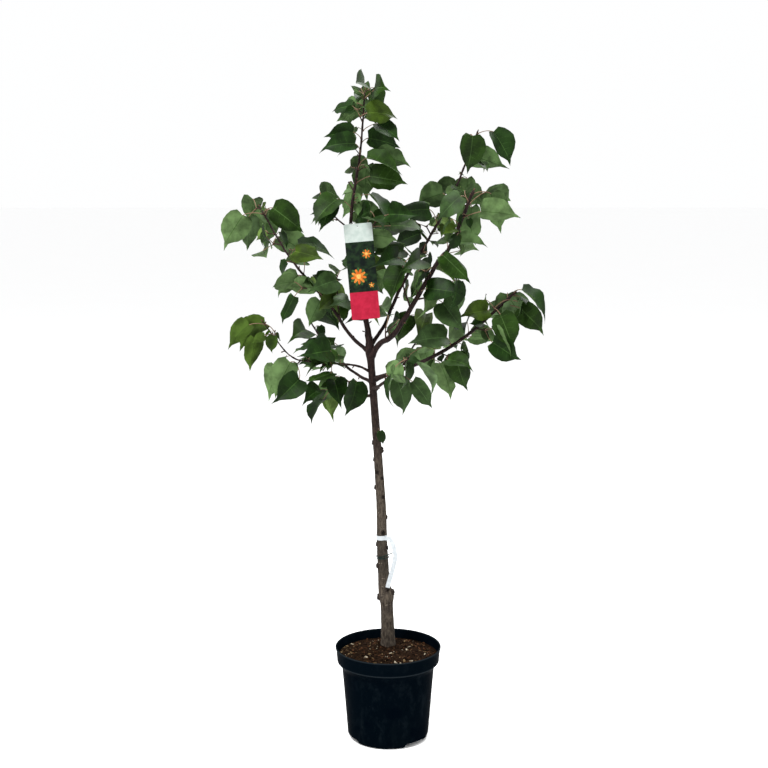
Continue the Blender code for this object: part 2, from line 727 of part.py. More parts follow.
def applied(thing):
    """The object with its modifiers made part of its mesh."""
    graph = bpy.context.evaluated_depsgraph_get()
    mesh = bpy.data.meshes.new_from_object(thing.evaluated_get(graph))
    thing.modifiers.clear()
    thing.data = mesh
    return thing


def boolean(thing, others, operation):
    """Joins others to a thing, or cuts them from it, and removes them."""
    if not others:
        return thing
    held = new_collection("operands")
    for other in others:
        move(other, held)
    modifier = thing.modifiers.new(operation.title(), "BOOLEAN")
    modifier.operation, modifier.solver = operation, "MANIFOLD"
    modifier.operand_type, modifier.collection = "COLLECTION", held
    bpy.context.view_layer.update()
    applied(thing)
    remove(others)
    bpy.data.collections.remove(held)
    return thing


def keep_largest(thing):
    """Drops scraps, and the skins of any hollow that joining sealed."""
    shape = bmesh.new()
    shape.from_mesh(thing.data)
    left, islands = set(shape.verts), []
    while left:
        island, edge = set(), {left.pop()}
        while edge:
            vert = edge.pop()
            island.add(vert)
            edge |= {e.other_vert(vert) for e in vert.link_edges} - island
        left -= island
        islands.append(island)
    for island in sorted(islands, key=len)[:-1]:
        bmesh.ops.delete(shape, geom=list(island), context="VERTS")
    shape.to_mesh(thing.data)
    shape.free()


def finish(thing, name, slot, roughness=0.8, smooth=True):
    thing.name = thing.data.name = name
    thing.data.materials.clear()
    thing.data.materials.append(material(slot, roughness))
    move(thing, bpy.data.collections["potted_apricot_tree"])
    if smooth:
        thing.data.shade_smooth()
        thing.data.set_sharp_from_angle(angle=math.radians(40))
    return thing


def turned(name, profile):
    """A solid of revolution from (radius, height) points that run from the inside outwards."""
    edges = [(k, k + 1) for k in range(len(profile) - 1)]
    made = solid(name, [(radius, 0, height) for radius, height in profile], (), edges)
    screw = made.modifiers.new("Turn", "SCREW")
    screw.steps = screw.render_steps = POT_STEPS
    screw.use_merge_vertices, screw.merge_threshold = True, 0.00002
    bpy.context.view_layer.update()
    applied(made)
    tidy_normals(made.data, 0.00002)
    return made


def stretch(path, start, end, step=RING_STEP):
    """Points along part of a path. Its ends are square to the path, so neighbours meet flat."""
    stub = 0.0015
    count = max(1, round((end - start) / step))
    inner = [path.at(share((start, end), k / count)) for k in range(1, count)]
    first, last = path.at(start), path.at(end)
    return [first, first + path.along(start) * stub, *inner,
            last - path.along(end) * stub, last]


def radii_along(points, first, last):
    gone, places = 0.0, [0.0]
    for a, b in zip(points, points[1:]):
        gone += (b - a).length
        places.append(gone)
    return [share((first, last), place / gone) for place in places]


# Pot and soil.

def make_pot():
    inner_band = POT_BAND_RADIUS - POT_WALL
    outside = [
        (POT_RIM_RADIUS - POT_LIP, POT_HEIGHT), (POT_RIM_RADIUS, POT_HEIGHT - POT_LIP),
        (POT_BAND_RADIUS, POT_BAND_FOOT), (POT_BAND_RADIUS - 0.003, POT_BAND_FOOT - 0.0035),
        (POT_WALL_TOP_RADIUS + 0.001, POT_WALL_TOP), (POT_WALL_TOP_RADIUS, POT_WALL_TOP - 0.004),
        (POT_WALL_FOOT_RADIUS, POT_EDGE_HEIGHT), (POT_FOOT_RADIUS + 0.005, 0.003),
        (POT_FOOT_RADIUS, 0.0), (0.0, 0.0),
    ]
    inside = [
        (0.0, POT_FLOOR), (POT_WALL_FOOT_RADIUS - 0.008, POT_FLOOR),
        (POT_WALL_FOOT_RADIUS - POT_WALL, POT_FLOOR + 0.006),
        (POT_WALL_TOP_RADIUS - POT_WALL, POT_WALL_TOP + 0.001),
        (inner_band, POT_BAND_FOOT + 0.001),
        (POT_RIM_RADIUS - 2 * POT_LIP, POT_HEIGHT - POT_LIP / 2),
    ]
    pot = turned("pot", inside + outside)
    cutters = []
    wide = 2 * POT_WALL_FOOT_RADIUS * math.tan(math.radians(NOTCH_ARC / 2))
    for heading in NOTCH_HEADINGS:
        middle = direction(heading, 0) * (POT_WALL_FOOT_RADIUS + 0.02 - NOTCH_DEPTH / 2)
        bpy.ops.mesh.primitive_cube_add(size=1)
        block = bpy.context.object
        block.data.transform(Matrix.Translation(middle) @ Matrix.Rotation(
            math.radians(heading), 4, "Z") @ Matrix.Diagonal(
            (NOTCH_DEPTH + 0.04, wide, 2 * NOTCH_HEIGHT, 1)))
        cutters.append(block)
    boolean(pot, cutters, "DIFFERENCE")
    return finish(pot, "pot", "pot", 0.45), inside


def make_soil(inside):
    clear_by = GAP * 1.3
    floor, wall = inside[0][1] + clear_by, [(r - clear_by, z + clear_by) for r, z in inside[1:5]]
    edge_radius = share((inside[4][0], inside[5][0]), 0.3) - clear_by
    profile = [(0.0, SOIL_MOUND - GAP), (SOIL_TOP_RADIUS, SOIL_MOUND - GAP),
               (0.100, share((SOIL_EDGE, SOIL_MOUND), 0.45)), (edge_radius, SOIL_EDGE)]
    profile += [(r, z) for r, z in reversed(wall)] + [(0.0, floor)]
    soil = turned("soil", profile)
    return finish(soil, "soil", "soil", 0.95)


# Wood.

def trunk_line(extra=0.0):
    heights = [SOIL_MOUND, SOIL_MOUND + 0.004]
    while heights[-1] < TRUNK_TOP - 0.035:
        near = min(abs(heights[-1] - where) for where, _, _ in (GRAFT, FORK))
        heights.append(heights[-1] + (0.014 if near < 0.035 else RING_STEP))
    heights += [TRUNK_TOP - 0.003, TRUNK_TOP]
    points = [trunk_axis(height) for height in heights]
    for end, beside in ((0, 1), (-1, -2)):
        points[beside].x, points[beside].y = points[end].x, points[end].y
    return points, [trunk_radius(height) + extra for height in heights], TRUNK_SIDES


def make_trunk():
    trunk, = swept([trunk_line()])
    knots = []
    for height, heading, radius in KNOTS:
        out = direction(heading, 12)
        bpy.ops.mesh.primitive_ico_sphere_add(subdivisions=1, radius=radius)
        knot = bpy.context.object
        middle = trunk_axis(height) + direction(heading, 0) * (trunk_radius(height) * 0.80)
        knot.data.transform(Matrix.Translation(middle) @ Matrix.Rotation(
            0.3, 4, out) @ Matrix.Diagonal((1.0, 1.0, 0.85, 1)))
        knots.append(knot)
    boolean(trunk, knots, "UNION")
    keep_largest(trunk)
    return finish(trunk, "trunk", "bark")


def limb_line(name, extra=0.0):
    """Points, radii and sides of the bare part of a limb."""
    path, bare = limb_path(name), LIMBS[name][3]
    points = stretch(path, 0.0, bare)
    radii = [limb_radius(name, place, path.length) + extra
             for place in radii_along(points, 0.0, bare)]
    return points, radii, BOUGH_SIDES


def make_limb(name):
    points, radii, sides = limb_line(name)
    if name == "leader":
        points[0] = points[0] + UP * GAP
        points[1] = points[0] + UP * 0.004
        limb, = swept([(points, radii, sides)])
        return finish(limb, name, "bark")
    limb, cutter = swept([(points, radii, sides), trunk_line(GAP)])
    boolean(limb, [cutter], "DIFFERENCE")
    keep_largest(limb)
    return finish(limb, name, "bark")


def make_mass(name, groups):
    path, start, end, thick, thin = stem_of(name)
    points = stretch(path, start, end, TWIG_STEP)
    lines = [(points, radii_along(points, thick, thin), TWIG_SIDES)]
    blades = []
    for twig, leaves in groups:
        if twig:
            lines.append((twig, (0.0018, 0.0014), SPUR_SIDES))
        blades += [solid("leaf", *leaf_shape(leaf)) for leaf in leaves]
    stem, *rest = swept(lines)
    if name in SHOOTS:
        limb = SHOOTS[name][0]
        boolean(stem, swept([limb_line(limb, 1.5 * GAP)]), "DIFFERENCE")
        keep_largest(stem)
    boolean(stem, rest + blades, "UNION")
    keep_largest(stem)
    return finish(stem, name, "leaf", 0.5)


# Tag and trims.

def make_card():
    wide, thick, tall = CARD
    bpy.ops.mesh.primitive_cube_add(size=1)
    card = bpy.context.object
    card.data.transform(Matrix.Diagonal((wide, thick, tall, 1)))
    shape = bmesh.new()
    shape.from_mesh(card.data)
    corners = [e for e in shape.edges
               if abs(e.verts[0].co.y - e.verts[1].co.y) > thick / 2]
    bmesh.ops.bevel(shape, geom=corners, offset=CARD_CORNER, segments=3, affect="EDGES",
                    profile=0.5)
    shape.to_mesh(card.data)
    shape.free()
    radius, drop = CARD_HOLE
    bpy.ops.mesh.primitive_cylinder_add(vertices=12, radius=radius, depth=0.01)
    punch = bpy.context.object
    punch.data.transform(Matrix.Translation((0, 0, tall / 2 - drop)) @ Matrix.Rotation(
        math.pi / 2, 4, "X"))
    boolean(card, [punch], "DIFFERENCE")
    card.data.transform(Matrix.Translation(CARD_MIDDLE) @ Matrix.Rotation(
        math.radians(CARD_TILT), 4, "Y"))
    return finish(card, "tag_card", "card", 0.35, smooth=False)


def make_loop():
    loop, = swept([(loop_points(), [LOOP_RADIUS] * LOOP_STEPS, TWIG_SIDES)], cyclic=True)
    return finish(loop, "tag_loop", "strip", 0.4)


def make_strip():
    """A white strip: a band round the trunk, and a tail that hangs from it."""
    axis = trunk_axis(STRIP_HEIGHT)
    thickest = trunk_radius(STRIP_HEIGHT - STRIP_WIDTH / 2)
    inner = thickest + 1.4 * GAP
    band = turned("band", [
        (inner, STRIP_WIDTH / 2), (inner + STRIP_THICKNESS, STRIP_WIDTH / 2),
        (inner + STRIP_THICKNESS, -STRIP_WIDTH / 2), (inner, -STRIP_WIDTH / 2),
        (inner, STRIP_WIDTH / 2)])
    lean = TRUNK_LEAN / (TRUNK_TOP - SOIL_MOUND)
    band.data.transform(Matrix.Translation(axis) @ Matrix.Rotation(
        lean.x, 4, "Y") @ Matrix.Rotation(-lean.y, 4, "X"))
    start = axis + direction(-58, 0) * (inner + STRIP_THICKNESS * 0.3)
    path = Path(corners_of(start, STRIP_TAIL), kink=0.0)
    points, faces, count = [], [], 10
    for k in range(count + 1):
        place = path.length * k / count
        flat = path.along(place).cross(BACK).normalized() * STRIP_WIDTH / 2  # it faces the front
        points += [path.at(place) - flat, path.at(place) + flat]
    for k in range(count):
        faces.append((2 * k, 2 * k + 1, 2 * k + 3, 2 * k + 2))
    tail = solid("tail", points, faces)
    shell = tail.modifiers.new("Thickness", "SOLIDIFY")
    shell.thickness, shell.offset = STRIP_THICKNESS, 0.0
    bpy.context.view_layer.update()
    applied(tail)
    tidy_normals(tail.data)
    boolean(band, [tail], "UNION")
    keep_largest(band)
    return finish(band, "tag_strip", "strip", 0.4)


def make_wire():
    """A turn of thin wire round the trunk, with a loose end."""
    points, around, first = [], 12, 200
    for k in range(around + 3):
        turn = first + 360 * k / around
        height = WIRE_HEIGHT + WIRE_PITCH * (k / around - 0.5)
        ring = trunk_radius(height) + WIRE_RADIUS * 1.4 + 3 * GAP
        points.append(trunk_axis(height) + direction(turn, 0) * ring)
    last = points[-1]
    for k in (1, 2, 3):
        points.append(last + direction(turn + 90, 25) * WIRE_END * k / 3)
    wire, = swept([(points, [WIRE_RADIUS] * len(points), TWIG_SIDES)])
    return finish(wire, "trunk_wire", "wire", 0.5)


def main():
    clear()
    for name in ("potted_apricot_tree", "cutters"):
        new_collection(name)
    bpy.data.collections["cutters"].hide_render = True
    pot, inside = make_pot()
    make_soil(inside)
    make_trunk()
    for name in LIMBS:
        make_limb(name)
    for name, groups in grow_all().items():
        make_mass(name, groups)
    make_card()
    make_loop()
    make_strip()
    make_wire()
    remove(bpy.data.collections["cutters"].objects)


if __name__ == "__main__":
    main()
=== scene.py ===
import bisect
import functools
import math
import random

import bpy
import numpy as np
from mathutils import Matrix, Vector
from mathutils.bvhtree import BVHTree


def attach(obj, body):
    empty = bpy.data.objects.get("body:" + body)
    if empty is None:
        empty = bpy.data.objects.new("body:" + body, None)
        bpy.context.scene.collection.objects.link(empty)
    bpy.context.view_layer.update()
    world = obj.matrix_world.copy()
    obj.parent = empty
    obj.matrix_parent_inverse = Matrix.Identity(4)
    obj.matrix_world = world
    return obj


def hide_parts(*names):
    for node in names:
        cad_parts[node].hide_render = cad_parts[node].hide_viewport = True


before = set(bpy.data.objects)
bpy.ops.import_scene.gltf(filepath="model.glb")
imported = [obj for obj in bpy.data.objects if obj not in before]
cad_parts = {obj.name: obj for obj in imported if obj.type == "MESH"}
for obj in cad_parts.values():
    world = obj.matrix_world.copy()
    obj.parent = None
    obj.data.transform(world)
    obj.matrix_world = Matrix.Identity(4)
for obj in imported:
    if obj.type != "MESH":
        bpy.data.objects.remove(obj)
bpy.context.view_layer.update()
up = Vector((0, 0, 1))
print("frame loaded:", len(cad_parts), "nodes")


# Small tools for modelling.

def dropSelection():
    if bpy.context.object and bpy.context.object.mode != "OBJECT":
        bpy.ops.object.mode_set(mode="OBJECT")
    bpy.ops.object.select_all(action="DESELECT")


def hold(piece):
    dropSelection()
    piece.select_set(True)
    bpy.context.view_layer.objects.active = piece
    return piece


def applyModifiers(piece):
    hold(piece)
    for modifier in list(piece.modifiers):
        bpy.ops.object.modifier_apply(modifier=modifier.name)


def addModifier(piece, kind, **settings):
    modifier = piece.modifiers.new(kind.title(), kind)
    for name, value in settings.items():
        setattr(modifier, name, value)
    return modifier


def finishPiece(piece, name, paints=(), nodes=(), smoothAngle=40):
    hold(piece)
    bpy.ops.object.transform_apply(location=True, rotation=True, scale=True)
    piece.name = piece.data.name = name
    for paint in paints:
        piece.data.materials.append(paint.material)
    bpy.ops.object.shade_smooth_by_angle(angle=math.radians(smoothAngle))
    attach(piece, "root")
    if nodes:
        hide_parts(*nodes)
    return piece


def editMesh(piece, action="SELECT"):
    hold(piece)
    bpy.ops.object.mode_set(mode="EDIT")
    bpy.ops.mesh.select_all(action=action)


def pullRing(radius, height, now):
    # moves a copy of the round cap in hand to its next radius and height
    bpy.ops.mesh.extrude_region_move(TRANSFORM_OT_translate={"value": (0, 0, height - now[1])})
    grow = radius / now[0]
    bpy.ops.transform.resize(value=(grow, grow, 1), center_override=(0, 0, height))
    return radius, height


def turnSolid(profile, sides):
    # a turned solid, pulled ring by ring from the middle of its underside to its last cap
    radius, height = profile[0]
    dropSelection()
    bpy.ops.mesh.primitive_circle_add(vertices=sides, radius=radius, fill_type="NGON",
                                      location=(0, 0, height))
    piece = bpy.context.object
    bpy.ops.object.transform_apply(location=True)
    editMesh(piece)
    now = profile[0]
    for radius, height in profile[1:]:
        now = pullRing(radius, height, now)
    bpy.ops.mesh.select_all(action="SELECT")
    bpy.ops.mesh.normals_make_consistent(inside=False)
    bpy.ops.object.mode_set(mode="OBJECT")
    return piece


def between(pair, t):
    return pair[0] + (pair[1] - pair[0]) * t


def headed(heading, rise):
    heading, rise = math.radians(heading), math.radians(rise)
    level = math.cos(rise)
    return Vector((math.cos(heading) * level, math.sin(heading) * level, math.sin(rise)))


# Joined meshes from arrays: each part is (points, faces, material numbers).

def joinParts(name, parts):
    points, faces, kinds, count = [], [], [], 0
    for some, corners, numbers in parts:
        points.append(np.asarray(some, np.float32))
        faces += [[corner + count for corner in face] for face in corners]
        kinds += list(numbers)
        count += len(some)
    mesh = bpy.data.meshes.new(name)
    mesh.from_pydata(np.concatenate(points).tolist(), [], faces)
    mesh.polygons.foreach_set("material_index", kinds)
    mesh.update()
    piece = bpy.data.objects.new(name, mesh)
    bpy.context.scene.collection.objects.link(piece)
    return piece


def meshParts(piece):
    # the arrays of a small shape that was modelled, which is then put away
    mesh = piece.data
    points = np.array([vert.co[:] for vert in mesh.vertices])
    faces = [list(face.vertices) for face in mesh.polygons]
    kinds = [face.material_index for face in mesh.polygons]
    bpy.data.objects.remove(piece, do_unlink=True)
    return points, faces, kinds


def tubePart(line, radii, sides, kind=0):
    # a closed tube along a line, with an even frame carried from ring to ring
    line = [Vector(point) for point in line]
    side, points = None, []
    for k, point in enumerate(line):
        ahead = line[min(k + 1, len(line) - 1)] - line[max(k - 1, 0)]
        ahead.normalize()
        if side is None:
            side = ahead.cross(up if abs(ahead.z) < 0.9 else Vector((1, 0, 0)))
        side = (side - ahead * side.dot(ahead)).normalized()
        other = ahead.cross(side)
        for step in range(sides):
            turn = math.tau * step / sides
            points.append(point + (side * math.cos(turn) + other * math.sin(turn)) * radii[k])
    faces = []
    for ring in range(len(line) - 1):
        for step in range(sides):
            low, beside = ring * sides + step, ring * sides + (step + 1) % sides
            faces.append((low, beside, beside + sides, low + sides))
    last = (len(line) - 1) * sides
    faces.append(tuple(range(sides - 1, -1, -1)))
    faces.append(tuple(range(last, last + sides)))
    return np.array([point[:] for point in points]), faces, [kind] * len(faces)


# Shader maths: a Feed is one output socket, and sums on it add Math nodes.

class Feed:
    def __init__(self, paint, socket):
        self.paint, self.socket = paint, socket

    def sum(self, operation, first, second):
        return self.paint.node("ShaderNodeMath", {"operation": operation}, {0: first, 1: second})

    def __add__(self, other):
        return self.sum("ADD", self, other)

    def __radd__(self, other):
        return self.sum("ADD", other, self)

    def __sub__(self, other):
        return self.sum("SUBTRACT", self, other)

    def __rsub__(self, other):
        return self.sum("SUBTRACT", other, self)

    def __mul__(self, other):
        return self.sum("MULTIPLY", self, other)

    def __rmul__(self, other):
        return self.sum("MULTIPLY", other, self)

    def __pow__(self, other):
        return self.sum("POWER", self, other)


class Paint:
    def __init__(self, name, colour, roughness=0.5, **constants):
        self.material = bpy.data.materials.new(name)
        self.material.use_nodes = True
        self.tree = self.material.node_tree
        self.shader = self.tree.nodes["Principled BSDF"]
        self.feed("Base Color", colour)
        self.feed("Roughness", roughness)
        self.feed("Specular IOR Level", 0.10)
        for socket, value in constants.items():
            self.feed(socket, value)

    def join(self, value, socket):
        if isinstance(value, Feed):
            self.tree.links.new(value.socket, socket)
        elif isinstance(value, tuple) and len(value) == 3 and len(socket.default_value) == 4:
            socket.default_value = (*value, 1)
        else:
            socket.default_value = value

    def feed(self, socket, value):
        self.join(value, self.shader.inputs[socket])

    def node(self, kind, settings=None, sockets=None, output=0):
        made = self.tree.nodes.new(kind)
        for name, value in (settings or {}).items():
            if name == "stops":
                ramp = made.color_ramp.elements
                while len(ramp) < len(value):
                    ramp.new(0.5)
                for stop, (place, colour) in zip(ramp, value):
                    stop.position, stop.color = place, (*colour, 1)
            else:
                setattr(made, name, value)
        for name, value in (sockets or {}).items():
            self.join(value, made.inputs[name])
        return Feed(self, made.outputs[output])

    def coords(self, scale=(1, 1, 1)):
        place = self.node("ShaderNodeTexCoord", output="Object")
        return self.node("ShaderNodeMapping", {}, {"Vector": place, "Scale": scale})

    def noise(self, scale, detail=3.0, stretch=(1, 1, 1), rough=0.55):
        return self.node("ShaderNodeTexNoise", {}, {
            "Vector": self.coords(stretch), "Scale": scale, "Detail": detail, "Roughness": rough})

    def cells(self, scale, stretch=(1, 1, 1)):
        return self.node("ShaderNodeTexVoronoi", {}, {"Vector": self.coords(stretch), "Scale": scale})

    def height(self):
        place = self.node("ShaderNodeTexCoord", output="Object")
        return self.node("ShaderNodeSeparateXYZ", {}, {"Vector": place}, output="Z")

    def span(self, value, low, high, to=(0.0, 1.0)):
        return self.node("ShaderNodeMapRange", {"interpolation_type": "SMOOTHSTEP"}, {
            "Value": value, "From Min": low, "From Max": high, "To Min": to[0], "To Max": to[1]})

    def blend(self, share, first, second):
        return self.node("ShaderNodeMix", {"data_type": "RGBA"}, {0: share, 6: first, 7: second},
                         output=2)

    def bump(self, height, strength, distance):
        self.feed("Normal", self.node("ShaderNodeBump", {}, {
            "Height": height, "Strength": strength, "Distance": distance}))


# The floor, the camera and the studio light.

view = {"place": (-0.011, -3.5, 1.5), "down": 8.75, "lens": 63.6, "sensor": 36}


def makeStage():
    dropSelection()
    bpy.ops.mesh.primitive_plane_add(size=120, location=(0, 0, 0))
    floor = bpy.context.object
    floor.name = "floor"
    paint = Paint("paleFloor", (0.98, 0.98, 0.98), 0.9)
    cloud = paint.noise(1.3, 2)
    paint.feed("Base Color", paint.blend(cloud, (0.975, 0.975, 0.975), (0.985, 0.985, 0.985)))
    floor.data.materials.append(paint.material)

    bpy.ops.object.camera_add(location=view["place"],
                              rotation=(math.radians(90 - view["down"]), 0, 0))
    camera = bpy.context.object
    camera.data.lens, camera.data.sensor_width = view["lens"], view["sensor"]
    bpy.context.scene.camera = camera

    world = bpy.data.worlds.new("studio")
    world.use_nodes = True
    world.node_tree.nodes["Background"].inputs["Color"].default_value = (0.995, 0.998, 1.0, 1)
    world.node_tree.nodes["Background"].inputs["Strength"].default_value = 1.0
    bpy.context.scene.world = world
    lamps = (("keyLight", (-1.8, -1.9, 4.4), 1.3, 230), ("fillLight", (2.8, -2.2, 2.2), 2.4, 20),
             ("backLight", (1.4, 1.9, 3.9), 1.4, 120))
    for name, place, size, power in lamps:
        bpy.ops.object.light_add(type="AREA", location=place)
        lamp = bpy.context.object
        lamp.name, lamp.data.size, lamp.data.energy = name, size, power
        aim = Vector((0, 0, 1.0)) - Vector(place)
        lamp.rotation_euler = aim.to_track_quat("-Z", "Y").to_euler()
    bpy.context.scene.view_settings.view_transform = "Standard"
    print("stage set")


# The wood's lines, by the same rule as the solids they grow on from.

gap = 0.0003
trunkForm = {
    "foot": 0.2395, "back": 0.042, "lean": (-0.050, -0.034), "top": 1.084,
    "footRadius": 0.0186, "topRadius": 0.0092, "taper": 1.5, "flare": (0.0026, 0.016),
    "graft": (0.378, 0.0046, 0.018), "fork": (1.046, 0.0036, 0.020),
    "step": -0.0045, "stepHeights": (0.372, 0.410, 0.500, 0.640),
}
swing = {"kink": 0.0011, "node": 0.031}

# height of the foot, radius at foot and tip, bare length, and legs of (length, heading, rise)
limbs = {
    "leader": (1.084, 0.0078, 0.0016, 0.300,
               ((0.150, 168, 80), (0.150, 186, 82), (0.175, 8, 82), (0.160, -20, 85))),
    "bough_left_high": (1.040, 0.0052, 0.0018, 0.165,
                        ((0.075, 170, 42), (0.080, 165, 55), (0.175, 158, 47), (0.165, 150, 54))),
    "bough_right_front": (1.030, 0.0078, 0.0040, 0.230,
                          ((0.050, -40, 51), (0.070, -38, 35), (0.215, -33, 56),
                           (0.050, -30, 49), (0.150, -27, 66))),
    "bough_right_rear": (1.060, 0.0050, 0.0024, 0.200,
                         ((0.070, 35, 48), (0.120, 35, 61), (0.260, 30, 56), (0.200, 23, 66))),
    "bough_right_low": (0.970, 0.0062, 0.0032, 0.150,
                        ((0.160, -15, 22), (0.130, -12, 33), (0.160, -9, 43))),
    "bough_left_thin": (0.990, 0.0032, 0.0014, 0.110,
                        ((0.060, -145, 23), (0.120, -150, 8), (0.065, -160, 18), (0.110, -166, 52))),
    "bough_left_low": (0.930, 0.0030, 0.0018, 0.060,
                       ((0.045, -160, -3), (0.060, -160, 31), (0.040, -165, 35))),
    "bough_rear": (1.015, 0.0056, 0.0022, 0.150,
                   ((0.100, 98, 35), (0.160, 92, 56), (0.130, 84, 66))),
    "bough_rear_left": (0.962, 0.0046, 0.0020, 0.120,
                        ((0.100, 128, 14), (0.120, 134, 30), (0.090, 138, 48))),
    "bough_rear_right": (0.940, 0.0044, 0.0020, 0.120,
                         ((0.100, 62, 16), (0.120, 56, 30), (0.080, 50, 48))),
    "bough_front": (0.948, 0.0044, 0.0020, 0.080,
                    ((0.080, -72, 16), (0.100, -62, 28), (0.060, -58, 40))),
}

# masses that carry a limb on: limb, start and end along it, leaves, leaf size
carried = {
    "foliage_leader_low": ("leader", 0.300, 0.385, 6, 1.00),
    "foliage_leader_mid": ("leader", 0.385, 0.460, 6, 1.00),
    "foliage_leader_high": ("leader", 0.460, 0.540, 4, 0.90),
    "foliage_leader_top": ("leader", 0.540, 0.600, 4, 0.85),
    "foliage_leader_tip": ("leader", 0.600, 0.635, 3, 0.90),
    "foliage_left_high_low": ("bough_left_high", 0.165, 0.260, 8, 0.82),
    "foliage_left_high_mid": ("bough_left_high", 0.260, 0.360, 5, 1.00),
    "foliage_left_high_upper": ("bough_left_high", 0.360, 0.430, 3, 1.05),
    "foliage_left_high_tip": ("bough_left_high", 0.430, 0.495, 5, 1.05),
    "foliage_right_front_low": ("bough_right_front", 0.230, 0.330, 7, 1.00),
    "foliage_right_front_mid": ("bough_right_front", 0.330, 0.430, 7, 1.00),
    "foliage_right_front_tip": ("bough_right_front", 0.430, 0.535, 7, 1.00),
    "foliage_right_rear_low": ("bough_right_rear", 0.200, 0.330, 6, 1.00),
    "foliage_right_rear_mid": ("bough_right_rear", 0.330, 0.450, 5, 1.00),
    "foliage_right_rear_upper": ("bough_right_rear", 0.450, 0.550, 4, 1.00),
    "foliage_right_rear_tip": ("bough_right_rear", 0.550, 0.650, 5, 1.00),
    "foliage_right_low_near": ("bough_right_low", 0.150, 0.250, 8, 1.00),
    "foliage_right_low_mid": ("bough_right_low", 0.250, 0.360, 7, 0.95),
    "foliage_right_low_tip": ("bough_right_low", 0.360, 0.450, 6, 1.00),
    "foliage_left_thin_near": ("bough_left_thin", 0.110, 0.200, 6, 0.60),
    "foliage_left_thin_mid": ("bough_left_thin", 0.200, 0.290, 4, 1.00),
    "foliage_left_thin_tip": ("bough_left_thin", 0.290, 0.355, 6, 0.90),
    "foliage_left_low": ("bough_left_low", 0.060, 0.145, 7, 0.95),
    "foliage_rear_low": ("bough_rear", 0.150, 0.270, 5, 1.00),
    "foliage_rear_tip": ("bough_rear", 0.270, 0.390, 5, 1.00),
    "foliage_rear_left": ("bough_rear_left", 0.120, 0.310, 6, 1.00),
    "foliage_rear_right": ("bough_rear_right", 0.120, 0.300, 5, 1.00),
    "foliage_front": ("bough_front", 0.080, 0.240, 8, 1.00),
}

# masses on side shoots: limb, place, length, heading, rise, leaves, leaf size
shoots = {
    "foliage_leader_left": ("leader", 0.280, 0.110, 175, 40, 6, 0.95),
    "foliage_leader_right": ("leader", 0.262, 0.100, -20, 25, 6, 0.95),
    "foliage_inner_left": ("bough_left_high", 0.120, 0.120, 110, 70, 7, 0.85),
    "foliage_inner_right": ("bough_right_front", 0.190, 0.120, 150, 70, 6, 0.95),
    "foliage_right_outer": ("bough_right_front", 0.218, 0.110, -30, 15, 6, 1.05),
    "foliage_fork": ("bough_right_front", 0.075, 0.050, -95, 45, 4, 0.90),
    "foliage_left_hanging": ("bough_left_thin", 0.095, 0.070, -120, 10, 5, 1.00),
}


def eased(value, low, high):
    t = min(max((value - low) / (high - low), 0.0), 1.0)
    return t * t * (3 - 2 * t)


def trunkAxis(height):
    t = (height - trunkForm["foot"]) / (trunkForm["top"] - trunkForm["foot"])
    lean, turns = trunkForm["lean"], trunkForm["stepHeights"]
    aside = trunkForm["step"] * (eased(height, *turns[:2]) - eased(height, *turns[2:]))
    return Vector((lean[0] * max(t, 0.0) ** 1.3 + aside, trunkForm["back"] + lean[1] * t, height))


def trunkRadius(height):
    t = (height - trunkForm["foot"]) / (trunkForm["top"] - trunkForm["foot"])
    radius = between((trunkForm["topRadius"], trunkForm["footRadius"]),
                     max(1 - t, 0.0) ** trunkForm["taper"])
    flare = trunkForm["flare"]
    radius += flare[0] * math.exp(-(height - trunkForm["foot"]) / flare[1])
    for where, extra, half in (trunkForm["graft"], trunkForm["fork"]):
        radius += extra * math.exp(-(((height - where) / half) ** 2))
    return radius


class WoodLine:
    # a smooth line through corners, by distance from its foot, that swings at its nodes
    def __init__(self, corners, kink=swing["kink"]):
        first, last = 2 * corners[0] - corners[1], 2 * corners[-1] - corners[-2]
        ends = [first, *corners, last]
        self.points, self.places = [corners[0]], [0.0]
        for a, b, c, d in zip(ends, ends[1:], ends[2:], ends[3:]):
            count = max(2, round((c - b).length / 0.005))
            for k in range(1, count + 1):
                t = k / count
                point = 0.5 * (2 * b + (c - a) * t + (2 * a - 5 * b + 4 * c - d) * t ** 2
                               + (3 * b - a - 3 * c + d) * t ** 3)
                self.places.append(self.places[-1] + (point - self.points[-1]).length)
                self.points.append(point)
        self.length = self.places[-1]
        self.side = (corners[-1] - corners[0]).cross(up).normalized() * kink

    def at(self, place):
        place = min(max(place, 0.0), self.length)
        k = min(max(bisect.bisect_left(self.places, place), 1), len(self.places) - 1)
        t = (place - self.places[k - 1]) / (self.places[k] - self.places[k - 1])
        sway = math.sin(math.pi * place / swing["node"])
        return self.points[k - 1].lerp(self.points[k], t) + self.side * sway

    def along(self, place):
        place = min(place, self.length - 0.003)
        return (self.at(place + 0.003) - self.at(place - 0.003)).normalized()


def cornersOf(foot, legs):
    corners = [foot]
    for length, heading, rise in legs:
        corners.append(corners[-1] + headed(heading, rise) * length)
    return corners


@functools.cache
def limbLine(name):
    return WoodLine(cornersOf(trunkAxis(limbs[name][0]), limbs[name][-1]))


def limbRadius(name, place, length):
    atFoot, atTip = limbs[name][1:3]
    return atFoot + (atTip - atFoot) * min(place / length, 1.0) ** 0.8


@functools.cache
def shootLine(name):
    limb, place, length, heading, rise = shoots[name][:5]
    legs = ((length / 2, heading, rise), (length / 2, heading, rise + 18))
    return WoodLine(cornersOf(limbLine(limb).at(place), legs), kink=swing["kink"] / 2)


def stemOf(name):
    if name in carried:
        limb, start, end = carried[name][:3]
        line = limbLine(limb)
        return line, start + gap, min(end, line.length)
    line = shootLine(name)
    return line, 0.0, line.length


# How leaves stand on their stems, by the same seeded rule.

